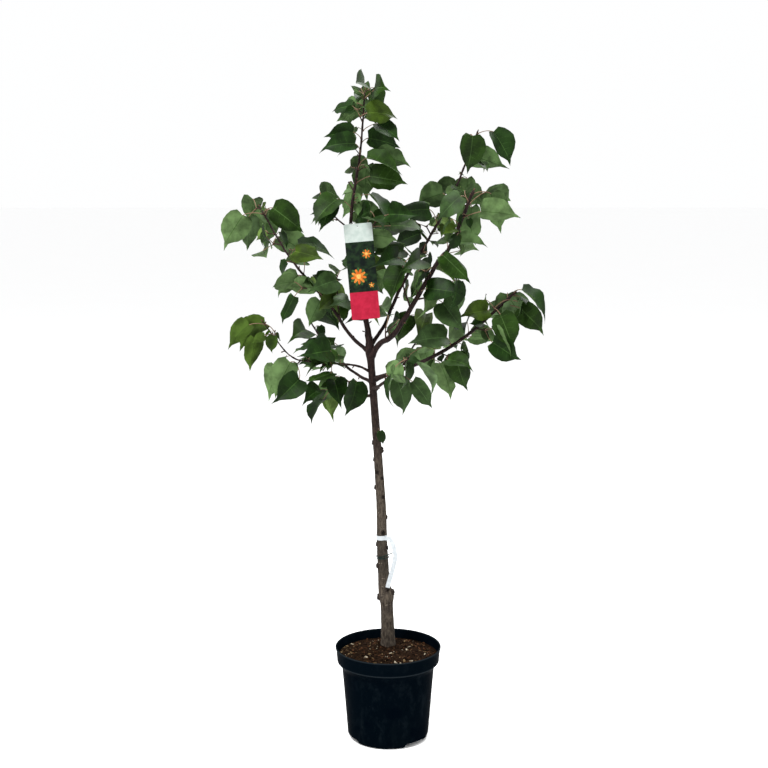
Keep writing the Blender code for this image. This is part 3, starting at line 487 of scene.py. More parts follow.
growth = {
    "spurShare": 0.35, "spurLength": (0.010, 0.040), "firstNode": 0.014, "lastNode": 0.007,
    "turnPerLeaf": 137.5, "petiole": (0.028, 0.056), "leafLength": 0.091, "leafWidth": 0.80,
    "stances": 600, "touch": 0.0009,
}


def across(along, turn):
    flat = along.cross(up if abs(along.z) < 0.9 else Vector((1, 0, 0))).normalized()
    return Matrix.Rotation(math.radians(turn), 3, along) @ flat


def hangLeaf(start, along, out, size, rng):
    length = between(growth["petiole"], rng.random()) * size
    droop, turn, roll = rng.uniform(-5, 80), rng.uniform(-80, 80), rng.uniform(-70, 70)
    blade = growth["leafLength"] * size * rng.uniform(0.84, 1.12)
    fold, curl = rng.uniform(8, 30), rng.uniform(10, 50)
    leave = (along * 0.55 + out * 0.85 + up * 0.25).normalized()
    heading = math.degrees(math.atan2(leave.y, leave.x)) + turn
    hang = headed(heading, -droop)
    knee = start + leave * length * 0.6
    joint = knee + (leave * 0.4 + hang * 0.6).normalized() * length * 0.4
    face = Matrix.Rotation(math.radians(roll), 3, hang) @ (up - hang * hang.z).normalized()
    return {"stalk": (start, knee, joint), "hang": hang, "face": face, "length": blade,
            "fold": math.radians(fold), "curl": math.radians(curl), "along": along, "out": out}


def nodesOf(name):
    # where leaves start on a mass, as (twig, places): a twig is None or (foot, tip)
    count = (carried.get(name) or shoots[name])[-2]
    rng = random.Random(name)
    line, start, end = stemOf(name)
    spin, bunches = rng.uniform(0, 360), []
    while sum(bunches) < count:
        bunch = rng.randint(2, 3) if rng.random() < growth["spurShare"] else 1
        bunches.append(min(bunch, count - sum(bunches)))
    first, last = start + growth["firstNode"], end - growth["lastNode"]
    nodes = []
    for k, bunch in enumerate(bunches):
        place = between((first, last), k / max(len(bunches) - 1, 1))
        turn = spin + growth["turnPerLeaf"] * k + rng.uniform(-25, 25)
        foot, along = line.at(place), line.along(place)
        out = across(along, turn)
        if bunch == 1:
            nodes.append((None, [(foot, along, out)]))
            continue
        spur = (along * 0.5 + out * 0.85 + up * 0.2).normalized()
        tip = foot + spur * between(growth["spurLength"], rng.random())
        places = []
        for j in range(bunch):
            fan = across(spur, turn + 360 * j / bunch + rng.uniform(-25, 25))
            places.append((tip - spur * 0.002, spur, fan))
        nodes.append(((foot, tip), places))
    return nodes


def bladePoint(leaf, u):
    curl, length = leaf["curl"], leaf["length"]
    return (leaf["stalk"][2] + leaf["hang"] * (math.sin(curl * u) / curl * length)
            - leaf["face"] * ((1 - math.cos(curl * u)) / curl * length))


def solidOf(name):
    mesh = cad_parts[name].data
    return BVHTree.FromPolygons([vert.co for vert in mesh.vertices],
                                [face.vertices for face in mesh.polygons])


def packedLeaf(name, node, place, solid):
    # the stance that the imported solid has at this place, if it has a leaf there at all
    size = (carried.get(name) or shoots[name])[-1]
    for draw in range(growth["stances"]):
        leaf = hangLeaf(*place, size, random.Random(f"{name} {node} {draw}"))
        if all(solid.find_nearest(bladePoint(leaf, u), growth["touch"])[0]
               for u in (0.4, 0.78, 1.0)):
            return leaf
    return None


def grownGroups(name):
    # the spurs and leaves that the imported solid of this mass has
    solid, groups = solidOf(name), []
    for k, (twig, places) in enumerate(nodesOf(name)):
        leaves = [packedLeaf(name, f"{k} {j}", place, solid) for j, place in enumerate(places)]
        leaves = [leaf for leaf in leaves if leaf]
        if leaves:
            groups.append((twig, leaves))
    return groups


# Leaves: flat blades are modelled, then laid along each stalk with its own fold and curl.

blade = {
    "rows": 13, "thickness": 0.009, "quilt": 0.009, "tooth": 0.011, "veinWidth": 0.0055,
    "veinRows": (1, 3, 5, 7, 9), "columns": (-1.0, -0.52, -0.028, 0.028, 0.52, 1.0),
    # half widths by place along the blade, over the widest
    "outline": ((0.0, 0.54), (0.04, 0.78), (0.10, 0.93), (0.20, 0.99), (0.32, 1.0), (0.45, 0.97),
                (0.56, 0.88), (0.65, 0.74), (0.72, 0.55), (0.775, 0.35), (0.82, 0.20), (0.87, 0.12),
                (0.93, 0.06), (1.0, 0.012)),
}
smallBlade = {**blade, "rows": 7, "quilt": 0.006, "tooth": 0.0, "veinRows": (1, 3, 5),
              "columns": (-1.0, -0.5, 0.0, 0.5, 1.0)}


def veinPlace(form, row, aside):
    # rows of the blade run like its side veins: out from the midrib and forwards
    u = row / form["rows"]
    rise = min(u / 0.35, 1.0)
    forward = 0.25 * rise * rise * (3 - 2 * rise) * (1 - u) ** 0.8
    return u + forward * abs(aside) ** 1.3 - 0.05 * abs(aside) * (1 - rise)


def bladeSpot(form, row, aside, lift=0.0):
    u = veinPlace(form, row, aside)
    places, widths = zip(*form["outline"])
    half = float(np.interp(u, places, widths)) * growth["leafWidth"] / 2
    if abs(aside) == 1.0 and 0 < row < form["rows"] and row % 2:
        half += form["tooth"]
    ridge = -form["quilt"] if row in form["veinRows"] else form["quilt"]
    bulge = 1 - 2 * abs(abs(aside) - 0.5)
    return aside * half, u, ridge * bulge * (1 - u) + lift


def placeRows(form, piece):
    # a plain grid takes the blade's rows and columns; tells the depth of the blade under each point
    columns, depths = form["columns"], []
    for vert in piece.data.vertices:
        aside = columns[round((vert.co.x + 0.5) * (len(columns) - 1))]
        row = round((vert.co.y + 0.5) * form["rows"])
        vert.co = bladeSpot(form, row, aside)
        inside = 0 < row < form["rows"] and abs(aside) < 1
        depths.append(form["thickness"] * (1.2 - vert.co.y) * inside)
    return depths


def makeBlade(form):
    dropSelection()
    bpy.ops.mesh.primitive_grid_add(x_subdivisions=len(form["columns"]) - 1,
                                    y_subdivisions=form["rows"], size=1)
    piece = bpy.context.object
    depths, upper = placeRows(form, piece), len(piece.data.polygons)
    editMesh(piece)
    bpy.ops.mesh.duplicate()
    bpy.ops.mesh.flip_normals()
    bpy.ops.object.mode_set(mode="OBJECT")
    for vert, depth in zip(piece.data.vertices[len(depths):], depths):
        vert.co.z -= depth
    for face in piece.data.polygons:
        middle = abs(face.center.x) < 0.004 and face.center.y < 0.86
        face.material_index = 2 if middle else 0 if face.index < upper else 1
    for slotNumber in range(3):
        piece.data.materials.append(None)
    editMesh(piece)
    bpy.ops.mesh.remove_doubles(threshold=0.00005)
    bpy.ops.object.mode_set(mode="OBJECT")
    points, faces, kinds = meshParts(piece)
    for row in form["veinRows"] if form is blade else ():
        for aside in (-1, 1):
            points, faces, kinds = addVein(points, faces, kinds, row, aside)
    return points, faces, kinds


def addVein(points, faces, kinds, row, aside):
    # a pale side vein that lies on the blade's upper face
    spots, stations = [], (0.028, 0.52, 0.93)
    for reach in stations:
        x, u, z = bladeSpot(blade, row, aside * reach, 0.0030)
        half = blade["veinWidth"] * (1.1 - reach) / 2
        spots += [(x, u - half, z), (x, u + half, z)]
    first = len(points)
    strip = [(first + 2 * k, first + 2 * k + 1, first + 2 * k + 3, first + 2 * k + 2)
             for k in range(len(stations) - 1)]
    if aside > 0:
        strip = [face[::-1] for face in strip]
    return np.concatenate([points, spots]), faces + strip, kinds + [2] * len(strip)


def layBlade(leaf, flat, rng):
    # every leaf has its own width, waves, twist and tail, and some have a side that rolls over
    v, u, lift = flat[:, 0] * rng.uniform(0.90, 1.05), flat[:, 1], flat[:, 2]
    v = np.where(v > 0, v * rng.uniform(0.92, 1.04), v * rng.uniform(0.92, 1.04))
    curl, fold, length = leaf["curl"], leaf["fold"] + math.radians(rng.uniform(-4, 14)), leaf["length"]
    wave, beat, phase = rng.uniform(0.014, 0.050), rng.uniform(1.2, 2.4), rng.uniform(0, math.tau)
    tail, lean = rng.uniform(-1.2, 3.2), rng.uniform(-0.7, 0.7)
    roll, rolled = rng.uniform(0, 1.3) * (rng.random() < 0.5), rng.choice((-1, 1))
    twist = np.radians(rng.uniform(-28, 28)) * u
    side, margin = np.sign(v), np.abs(v) / 0.40
    outer = np.maximum(np.abs(v) - 0.17, 0) * (side == rolled)
    across = np.abs(v) - outer * (1 - math.cos(roll))
    rise = np.sqrt(across ** 2 + 0.0009) - 0.03
    rise = rise * math.sin(fold) - outer * math.sin(roll)
    rise += wave * margin ** 2 * np.sin(math.tau * beat * u + phase + side * 0.8) + lift
    aside = side * across * math.cos(fold) + lean * np.maximum(u - 0.72, 0) ** 1.6
    down = (1 - np.cos(curl * u)) / curl + tail * np.maximum(u - 0.76, 0) ** 2
    hang, face = np.array(leaf["hang"]), np.array(leaf["face"])
    beside = np.cross(hang, face)
    turned = aside * np.cos(twist) - rise * np.sin(twist)
    lifted = rise * np.cos(twist) + aside * np.sin(twist) - down
    forward = np.sin(curl * u) / curl
    return np.array(leaf["stalk"][2]) + length * (
        forward[:, None] * hang + turned[:, None] * beside + lifted[:, None] * face)


def arcThrough(start, knee, joint, count=7):
    # the petiole's arch, from its foot past its knee to the blade
    return [start.lerp(knee, t).lerp(knee.lerp(joint, t), t)
            for t in (k / count for k in range(count + 1))]


leafShades = {  # top, underside and vein of each shade that the sprays are dealt
    "Deep": ((0.0064, 0.0205, 0.0022), (0.060, 0.105, 0.036), (0.028, 0.062, 0.014)),
    "Mid": ((0.0108, 0.0285, 0.0026), (0.075, 0.125, 0.045), (0.040, 0.080, 0.020)),
    "Soft": ((0.0200, 0.0410, 0.0110), (0.090, 0.145, 0.062), (0.042, 0.082, 0.026)),
    "Warm": ((0.0240, 0.0450, 0.0030), (0.085, 0.135, 0.034), (0.050, 0.086, 0.012)),
    "Fresh": ((0.0145, 0.0320, 0.0022), (0.040, 0.072, 0.011), (0.030, 0.056, 0.008)),
}
youngMasses = ("foliage_left_thin_tip",)


def leafPaint(name, colour, roughness, gloss):
    paint = Paint(name, colour, roughness)
    paint.feed("Specular IOR Level", gloss)
    dark = tuple(0.60 * part for part in colour)
    light = tuple(1.45 * part for part in colour)
    patches = paint.span(paint.noise(30, 3), 0.32, 0.68)
    paint.feed("Base Color", paint.blend(patches, dark, light))
    paint.bump(paint.noise(420, 2) * 0.4 + paint.noise(110, 3), 0.24, 0.0012)
    return paint


def dealShade(draw):
    for shade, share in (("Deep", 0.44), ("Mid", 0.30), ("Soft", 0.14), ("Warm", 0.12)):
        if draw < share:
            return shade
        draw -= share
    return "Deep"


def twigPart(foot, tip, thick=0.0019):
    bend = foot.lerp(tip, 0.5) + up * 0.0008
    return tubePart(arcThrough(foot, bend, tip, 4),
                    [thick * k for k in (1.1, 1.0, 0.95, 0.9, 1.0)], 8)


def stalkPart(leaf):
    small = min(leaf["length"] / growth["leafLength"], 1.0) ** 0.5
    radii = [(0.0011 + 0.0004 * math.exp(-k) + (0.0002 if k == 7 else 0)) * small for k in range(8)]
    return tubePart(arcThrough(*leaf["stalk"]), radii, 6)


def makeFoliage():
    flat, faces, kinds = makeBlade(blade)
    smallFlat, smallFaces, smallKinds = makeBlade(smallBlade)
    bud = makeBud()
    sprays = {shade: [] for shade in leafShades}
    stalks, twigs, buds, masses = [], [], [], [*carried, *shoots]
    rng, around, laid = random.Random(11), allSolids(), []
    for name in masses:
        for twig, leaves in grownGroups(name):
            if twig:
                twigs.append(twigPart(*twig))
            for leaf in leaves:
                shade = "Fresh" if name in youngMasses else dealShade(rng.random())
                sprays[shade].append((layBlade(leaf, flat, rng), faces, kinds))
                stalks.append(stalkPart(leaf))
                out = (leaf["along"] * 0.8 + leaf["out"] * 0.6).normalized()
                buds.append(placeBud(bud, leaf["stalk"][0] + leaf["out"] * 0.0022, out, rng))
        for twig, leaves in finerGroups(name, around, laid):
            if twig:
                twigs.append(twigPart(*twig, 0.0013))
                buds.append(placeBud(bud, twig[1], (twig[1] - twig[0]).normalized(), rng))
            for leaf in leaves:
                shade = "Fresh" if name in youngMasses else dealShade(rng.random())
                sprays[shade].append((layBlade(leaf, smallFlat, rng), smallFaces, smallKinds))
                stalks.append(stalkPart(leaf))
    for leaf in trunkLeaves():
        sprays["Deep"].append((layBlade(leaf, smallFlat, rng), smallFaces, smallKinds))
        stalks.append(stalkPart(leaf))
    for foot, tip in bareSpurs():
        twigs.append(twigPart(foot, tip, 0.0015))
        buds.append(placeBud(bud, tip, (tip - foot).normalized(), rng))
    print("finer leaves:", len(laid))
    for shade, parts in sprays.items():
        paints = [leafPaint("leaf" + kind + shade, colour, rough, gloss) for kind, colour, rough, gloss
                  in zip(("Top", "Under", "Vein"), leafShades[shade], (0.50, 0.65, 0.50),
                         (0.09, 0.04, 0.06))]
        piece = joinParts("leaves" + shade, parts)
        finishPiece(piece, "leaves" + shade, paints, masses, 60)
    print("leaves laid:", sum(len(parts) for parts in sprays.values()))
    return stalks, twigs, buds


def makeBud():
    dropSelection()
    bpy.ops.mesh.primitive_uv_sphere_add(segments=8, ring_count=6, radius=0.0016,
                                         location=(0, 0, 0.0012))
    piece = bpy.context.object
    piece.scale = (1, 1, 1.5)
    bpy.ops.object.transform_apply(location=True, rotation=True, scale=True)
    editMesh(piece, "DESELECT")
    bpy.ops.object.mode_set(mode="OBJECT")
    for vert in piece.data.vertices:
        vert.select = vert.co.z > 0.0028
    bpy.ops.object.mode_set(mode="EDIT")
    bpy.ops.transform.translate(value=(0.0002, 0, 0.0008))
    bpy.ops.object.mode_set(mode="OBJECT")
    return meshParts(piece)


def placeBud(bud, place, out, rng):
    points, faces, kinds = bud
    turn = np.array(out.to_track_quat("Z", "Y").to_matrix())
    return (points * rng.uniform(0.8, 1.3)) @ turn.T + np.array(place), faces, kinds


# Finer growth: small leaves on short twigs between the others, and bare spurs on the limbs.

finer = {
    "nodes": (1, 3), "size": (0.30, 0.55), "twigShare": 0.40, "twig": (0.008, 0.024), "tries": 60,
    "clear": 0.0035, "apart": 0.014,
    "trunkLeaf": (0.842, -58, 0.40), "spurStep": 0.029, "spur": (0.003, 0.009), "spurShare": 0.55,
}


def allSolids():
    points, faces = [], []
    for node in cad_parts.values():
        first = len(points)
        points += [vert.co.copy() for vert in node.data.vertices]
        faces += [[first + corner for corner in face.vertices] for face in node.data.polygons]
    return BVHTree.FromPolygons(points, faces)


def hidesCard(point):
    wide, _, tall = card["size"]
    middle, margin = card["middle"], card["cardMargin"]
    return (abs(point.x - middle[0]) < wide / 2 + margin and point.y < middle[1] + margin
            and abs(point.z - middle[2]) < tall / 2 + margin)


def leafSpots(leaf):
    # points on a small leaf that have to be clear
    beside = leaf["hang"].cross(leaf["face"]) * leaf["length"] * 0.36 * math.cos(leaf["fold"])
    middle = bladePoint(leaf, 0.4)
    return [bladePoint(leaf, u) for u in (0.1, 0.4, 0.7, 1.0)] + [middle + beside, middle - beside]


def isFree(leaf, around, laid, box):
    spots = leafSpots(leaf)
    if any(hidesCard(spot) or around.find_nearest(spot, finer["clear"])[0] for spot in spots):
        return False
    low, high = box
    if any(spot[axis] < low[axis] or spot[axis] > high[axis] for spot in spots for axis in range(3)):
        return False
    return all((spots[1] - other).length > finer["apart"] for other in laid)


def freeLeaf(start, along, out, around, laid, box, rng):
    # the first stance in which a small leaf touches nothing and keeps within its mass's reach
    size = between(finer["size"], rng.random())
    for _ in range(finer["tries"]):
        leaf = hangLeaf(start, along, out, size, rng)
        if isFree(leaf, around, laid, box):
            laid.append(bladePoint(leaf, 0.4))
            return leaf
    return None


def finerGroups(name, around, laid):
    rng = random.Random(name + " finer")
    line, start, end = stemOf(name)
    spots = np.array([vert.co[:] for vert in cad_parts[name].data.vertices])
    box = spots.min(axis=0), spots.max(axis=0)
    groups = []
    for _ in range(rng.randint(*finer["nodes"])):
        place = between((start + 0.006, end - 0.004), rng.random())
        foot, along = line.at(place), line.along(place)
        out, twig, count = across(along, rng.uniform(0, 360)), None, 1
        if rng.random() < finer["twigShare"]:
            spur = (along * 0.5 + out * 0.85 + up * 0.2).normalized()
            twig = foot, foot + spur * between(finer["twig"], rng.random())
            foot, along, count = twig[1] - spur * 0.001, spur, rng.randint(2, 3)
        leaves = [freeLeaf(foot, along, across(along, rng.uniform(0, 360)) if twig else out,
                           around, laid, box, rng) for _ in range(count)]
        leaves = [leaf for leaf in leaves if leaf]
        if leaves:
            groups.append((twig, leaves))
    return groups


def trunkLeaves():
    height, heading, size = finer["trunkLeaf"]
    rng, out = random.Random(3), headed(heading, 0)
    start = trunkAxis(height) + out * trunkRadius(height) * 0.9
    while True:
        leaf = hangLeaf(start, out, up * -0.5, size, rng)
        if leaf["hang"].z < -0.95 and abs(leaf["face"].y) > 0.7:
            return [leaf]


def bareSpurs():
    # short spurs with a bud on the bare wood and along the stems, from node to node
    rng, spurs = random.Random(17), []
    for name in limbs:
        line, place = limbLine(name), 0.030
        while place < line.length:
            if rng.random() < finer["spurShare"]:
                along = line.along(place)
                out = (across(along, rng.uniform(0, 360)) + along * 0.6).normalized()
                foot = line.at(place) + out * limbRadius(name, place, line.length) * 0.6
                spurs.append((foot, foot + out * between(finer["spur"], rng.random() ** 2)))
            place += finer["spurStep"]
        foot = line.at(line.length - 0.002)
        spurs.append((foot, foot + line.along(line.length) * 0.004))
    return spurs


# Bark: trunk, boughs and shoots as swept wood with relief.

bark = {"ringStep": 0.0045, "trunkSides": 28, "limbSides": 16, "shootSides": 10}


def trunkPart():
    line, radii, height = [], [], trunkForm["foot"] - 0.006
    while height < trunkForm["top"]:
        line.append(trunkAxis(height))
        radii.append(trunkRadius(max(height, trunkForm["foot"])))
        height += bark["ringStep"]
    leader = limbLine("leader")
    place = 0.0
    while place < leader.length:
        line.append(leader.at(place))
        swell = 0.0005 * math.exp(-(((place % swing["node"]) - swing["node"] / 2) / 0.003) ** 2)
        radii.append(limbRadius("leader", place, leader.length) + swell)
        place += bark["ringStep"]
    line.append(leader.at(leader.length))
    radii.append(limbRadius("leader", leader.length, leader.length) * 0.7)
    return tubePart(line, radii, bark["trunkSides"])


def limbPart(name):
    line, points, radii, place = limbLine(name), [], [], 0.0
    while place < line.length:
        points.append(line.at(place))
        collar = 1 + 0.45 * math.exp(-max(place - 0.010, 0) / 0.008)
        swell = 0.0004 * math.exp(-(((place % swing["node"]) - swing["node"] / 2) / 0.003) ** 2)
        radii.append(limbRadius(name, place, line.length) * collar + swell)
        place += bark["ringStep"]
    points.append(line.at(line.length))
    radii.append(limbRadius(name, line.length, line.length) * 0.75)
    return tubePart(points, radii, bark["limbSides"])


def shootPart(name):
    line = shootLine(name)
    count = max(4, round(line.length / 0.006))
    points = [line.at(line.length * k / count) for k in range(count + 1)]
    radii = [between((0.0024, 0.0013), k / count) + 0.0010 * math.exp(-k) for k in range(count + 1)]
    return tubePart(points, radii, bark["shootSides"])


def barkPaint():
    paint = Paint("bark", (0.09, 0.066, 0.05), 0.78)
    height = paint.height()
    grain = paint.noise(210, 5, (1, 1, 0.35), 0.65)
    patches = paint.noise(46, 3, (1, 1, 0.6))
    pores = paint.span(paint.noise(330, 1, (1, 1, 3.2)), 0.66, 0.74)
    old = paint.blend(paint.span(grain, 0.36, 0.66), (0.022, 0.017, 0.013), (0.086, 0.069, 0.052))
    old = paint.blend(paint.span(patches, 0.40, 0.70, (0.0, 0.55)), old, (0.028, 0.022, 0.018))
    old = paint.blend(pores * 0.55, old, (0.16, 0.135, 0.11))
    damp = paint.span(height, 0.425, 0.450) * paint.span(height, 0.500, 0.580, (1.0, 0.0))
    old = paint.blend(damp * 0.55, old, (0.018, 0.015, 0.011))
    young = paint.blend(paint.span(grain, 0.35, 0.7), (0.007, 0.0035, 0.0035), (0.026, 0.013, 0.011))
    young = paint.blend(pores * 0.35, young, (0.085, 0.058, 0.045))
    paint.feed("Base Color", paint.blend(paint.span(height, 0.62, 1.00), old, young))
    paint.feed("Roughness", paint.span(height, 0.8, 1.1, (0.85, 0.65)))
    paint.feed("Specular IOR Level", 0.12)
    paint.bump(grain + pores * 0.5, 0.45, 0.0006)
    return paint


def makeWood(twigs):
    parts = [trunkPart(), *[limbPart(name) for name in limbs if name != "leader"]]
    wood = joinParts("trunkAndBoughs", parts)
    for size, strength in ((0.014, 0.0011), (0.004, 0.0005)):
        grain = bpy.data.textures.new("barkRelief", "CLOUDS")
        grain.noise_scale = size
        addModifier(wood, "DISPLACE", texture=grain, strength=strength, mid_level=0.5,
                    texture_coords="LOCAL")
    applyModifiers(wood)
    paint = barkPaint()
    finishPiece(wood, "trunkAndBoughs", [paint], ["trunk", *limbs], 60)
    twigPaint = Paint("twigBark", (0.05, 0.026, 0.022), 0.6)
    streak = twigPaint.noise(260, 3, (1, 1, 0.4))
    twigPaint.feed("Base Color", twigPaint.blend(streak, (0.014, 0.007, 0.006), (0.048, 0.026, 0.020)))
    twigPaint.bump(streak, 0.3, 0.0004)
    finer = joinParts("sideTwigs", [*twigs, *[shootPart(name) for name in shoots]])
    finishPiece(finer, "sideTwigs", [twigPaint], (), 60)
    print("wood grown")
    return paint


def makeStalksAndBuds(stalks, buds):
    paint = Paint("petiole", (0.16, 0.085, 0.06), 0.5)
    blush = paint.noise(60, 2)
    paint.feed("Base Color", paint.blend(blush, (0.110, 0.050, 0.042), (0.200, 0.150, 0.080)))
    paint.bump(paint.noise(700, 2), 0.15, 0.0003)
    finishPiece(joinParts("leafStalks", stalks), "leafStalks", [paint], (), 60)
    budPaint = Paint("budScale", (0.06, 0.028, 0.02), 0.6)
    scales = budPaint.noise(900, 2)
    budPaint.feed("Base Color", budPaint.blend(scales, (0.035, 0.016, 0.012), (0.11, 0.06, 0.04)))
    budPaint.bump(scales, 0.4, 0.0003)
    finishPiece(joinParts("leafBuds", buds), "leafBuds", [budPaint], (), 60)


# Knots on the trunk, by height, heading and radius, and pale lips of callus by half length.

knots = (
    (0.374, 184, 0.0095), (0.388, -14, 0.0095), (0.400, -62, 0.0076), (0.463, -166, 0.0078),
    (0.514, -38, 0.0076), (0.523, 184, 0.0064), (0.557, -75, 0.0074), (0.598, -6, 0.0058),
    (0.655, -58, 0.0060), (0.680, 182, 0.0062), (0.707, -55, 0.0056), (0.723, -115, 0.0060),
    (0.756, 180, 0.0060), (0.782, -12, 0.0088), (0.802, 176, 0.0064),
)
callus = (
    (0.357, -72, 0.0080), (0.382, -120, 0.0060), (0.407, -95, 0.0085), (0.413, -60, 0.0060),
    (0.472, -120, 0.0055), (0.568, -78, 0.0050), (0.430, -100, 0.0055), (0.612, -130, 0.0040),
)


def makeKnotShape():
    # a stub of old growth with a sunken end, one metre in radius
    dropSelection()
    bpy.ops.mesh.primitive_uv_sphere_add(segments=20, ring_count=12, radius=1.0)
    piece = bpy.context.object
    editMesh(piece, "DESELECT")
    bpy.ops.object.mode_set(mode="OBJECT")
    for face in piece.data.polygons:
        face.select = face.center.z > 0.72
    bpy.ops.object.mode_set(mode="EDIT")
    bpy.ops.mesh.select_mode(type="FACE")
    bpy.ops.mesh.inset(thickness=0.14, depth=0.0)
    bpy.ops.transform.translate(value=(0, 0, -0.40))
    bpy.ops.object.mode_set(mode="OBJECT")
    for face in piece.data.polygons:
        face.material_index = 1 if face.select else 0
    return meshParts(piece)


def onTrunk(shape, height, heading, depth, rise=8):
    # a shape that points along Z is turned to stand out of the trunk
    turn = np.array(headed(heading, rise).to_track_quat("Z", "Y").to_matrix())
    middle = trunkAxis(height) + headed(heading, 0) * (trunkRadius(height) - depth)
    return shape @ turn.T + np.array(middle)


def makeKnots():
    points, faces, kinds = makeKnotShape()
    parts, rng = [], random.Random(5)
    for height, heading, radius in knots:
        rough = 1 + 0.13 * np.sin(points[:, :1] * 7 + rng.uniform(0, 6)) * np.cos(points[:, 1:2] * 6)
        shape = points * rough * np.array((0.9, 1.05, rng.uniform(0.95, 1.25))) * radius
        parts.append((onTrunk(shape, height, heading, radius * 0.35), faces, kinds))
    lips = []
    for height, heading, half in callus:
        wobble = 1 + 0.2 * np.sin(points[:, :1] * 5 + rng.uniform(0, 6))
        shape = points * wobble * np.array((half, 0.0013, 0.0030))
        turn = Matrix.Rotation(math.radians(rng.uniform(-14, 14)), 3, "Z")
        lips.append((onTrunk(shape @ np.array(turn).T, height, heading, 0.0018), faces,
                     [0] * len(faces)))
    collar = Paint("knotCollar", (0.02, 0.015, 0.012), 0.85)
    grain = collar.noise(300, 4)
    collar.feed("Base Color", collar.blend(grain, (0.005, 0.004, 0.0035), (0.040, 0.030, 0.024)))
    collar.bump(grain, 0.6, 0.0006)
    scar = Paint("knotScar", (0.008, 0.006, 0.005), 0.9)
    pits = scar.noise(500, 3)
    scar.feed("Base Color", scar.blend(pits, (0.003, 0.0025, 0.002), (0.018, 0.013, 0.010)))
    scar.bump(pits, 0.6, 0.0006)
    pale = Paint("callus", (0.2, 0.17, 0.13), 0.8)
    fibre = pale.noise(420, 3)
    pale.feed("Base Color", pale.blend(fibre, (0.07, 0.055, 0.042), (0.28, 0.24, 0.19)))
    pale.bump(fibre, 0.4, 0.0004)
    finishPiece(joinParts("trunkKnots", parts), "trunkKnots", [collar, scar], (), 50)
    finishPiece(joinParts("callusLips", lips), "callusLips", [pale], (), 60)


# The nursery pot.

pot = {
    "sides": 112,
    "outside": ((0.0995, 0.0), (0.1035, 0.0016), (0.1062, 0.0045), (0.1090, 0.0120), (0.1112, 0.040),
                (0.1200, 0.150), (0.1236, 0.1915), (0.1248, 0.1960), (0.1300, 0.2035),
                (0.1352, 0.2090), (0.1366, 0.2110), (0.1370, 0.2124), (0.1371, 0.2150),
                (0.1386, 0.2340), (0.1404, 0.2440)),
    "lip": ((0.1412, 0.2462), (0.1416, 0.2474), (0.1416, 0.2488), (0.1409, 0.2498),
            (0.1398, 0.2500), (0.1388, 0.2496), (0.1382, 0.2484)),
    "inside": ((0.1338, 0.2130), (0.1206, 0.1968), (0.1062, 0.0200), (0.1000, 0.0130)),
    "notchHeadings": (-44, 77, 200), "notchArc": 39, "notchHeight": 0.012, "notchDepth": 0.024,
}


def potPaint():
    paint = Paint("blackPlastic", (0.003, 0.005, 0.008), 0.30)
    paint.feed("Specular IOR Level", 0.001)
    dust = paint.noise(7, 4)
    scuffs = paint.span(paint.noise(34, 5, (1, 1, 0.3)), 0.56, 0.78)
    low = paint.span(paint.height(), 0.0, 0.10, (1.0, 0.0))
    veil = paint.span(dust, 0.45, 0.75) * 0.22 + scuffs * 0.25 + low * scuffs * 0.5
    # mask of the band over the shoulder, where a painted reflection goes
    bandSheen = paint.span(paint.height(), 0.2095, 0.2120)
    specks = paint.span(paint.noise(240, 2), 0.68, 0.74)
    wall = paint.blend(veil, (0.0005, 0.0018, 0.0034), (0.0034, 0.0054, 0.0072))
    wall = paint.blend(specks * 0.7, wall, (0.0070, 0.0085, 0.0090))
    cloudy = paint.span(paint.noise(38, 7, (1, 1, 0.6), 0.72), 0.48, 0.68)
    wall = paint.blend(cloudy * 0.45, wall, (0.0052, 0.0082, 0.0110))
    wall = paint.blend(paint.span(paint.noise(15, 4), 0.52, 0.64) * 0.8, wall, (0.0002, 0.0012, 0.0028))
    # painted reflection: the band over the shoulder is painted a little lighter and bluer
    wall = paint.blend(bandSheen * 0.5, wall, (0.0010, 0.0026, 0.0044))
    # painted highlights: a thin light line along the band's lower edge, and the rim's top painted lighter
    bandEdgeHighlight = paint.span(paint.height(), 0.2085, 0.2102) * paint.span(paint.height(), 0.2118, 0.2140, (1.0, 0.0))
    lip = paint.span(paint.height(), 0.2462, 0.2484)
    paint.feed("Base Color", paint.blend(bandEdgeHighlight * 0.6 + lip * 0.5, wall, (0.0170, 0.0225, 0.0265)))
    paint.feed("Roughness", veil * 0.30 + 0.36)
    paint.bump(paint.noise(900, 2) * 0.3 + paint.noise(60, 2), 0.12, 0.0006)
    return paint


def makePot():
    shell = turnSolid([*pot["outside"], *pot["lip"], *pot["inside"]], pot["sides"])
    wide = 2 * 0.109 * math.tan(math.radians(pot["notchArc"] / 2))
    for heading in pot["notchHeadings"]:
        dropSelection()
        middle = headed(heading, 0) * (0.129 - pot["notchDepth"] / 2)
        bpy.ops.mesh.primitive_cube_add(size=1, location=middle, rotation=(0, 0, math.radians(heading)),
                                        scale=(pot["notchDepth"] + 0.04, wide, 2 * pot["notchHeight"]))
        cutter = bpy.context.object
        bpy.ops.object.transform_apply(location=True, rotation=True, scale=True)
        addModifier(cutter, "BEVEL", width=0.004, segments=3)
        applyModifiers(cutter)
        addModifier(shell, "BOOLEAN", operation="DIFFERENCE", object=cutter, solver="EXACT")
        applyModifiers(shell)
        bpy.data.objects.remove(cutter, do_unlink=True)
    finishPiece(shell, "nurseryPot", [potPaint()], ["pot"], 28)
    print("pot turned")


# The compost and its bark chips.

soil = {
    "sides": 112, "floor": 0.0136, "edge": 0.2250, "mound": 0.2392, "moundRadius": 0.068,
    "edgeRadius": 0.1342, "rings": 34, "chips": 520, "crumbs": 900,
}


def soilHeight(radius):
    if radius <= soil["moundRadius"]:
        return soil["mound"]
    t = (radius - soil["moundRadius"]) / (soil["edgeRadius"] - soil["moundRadius"])
    return between((soil["mound"], soil["edge"]), t * t * (3 - 2 * t))


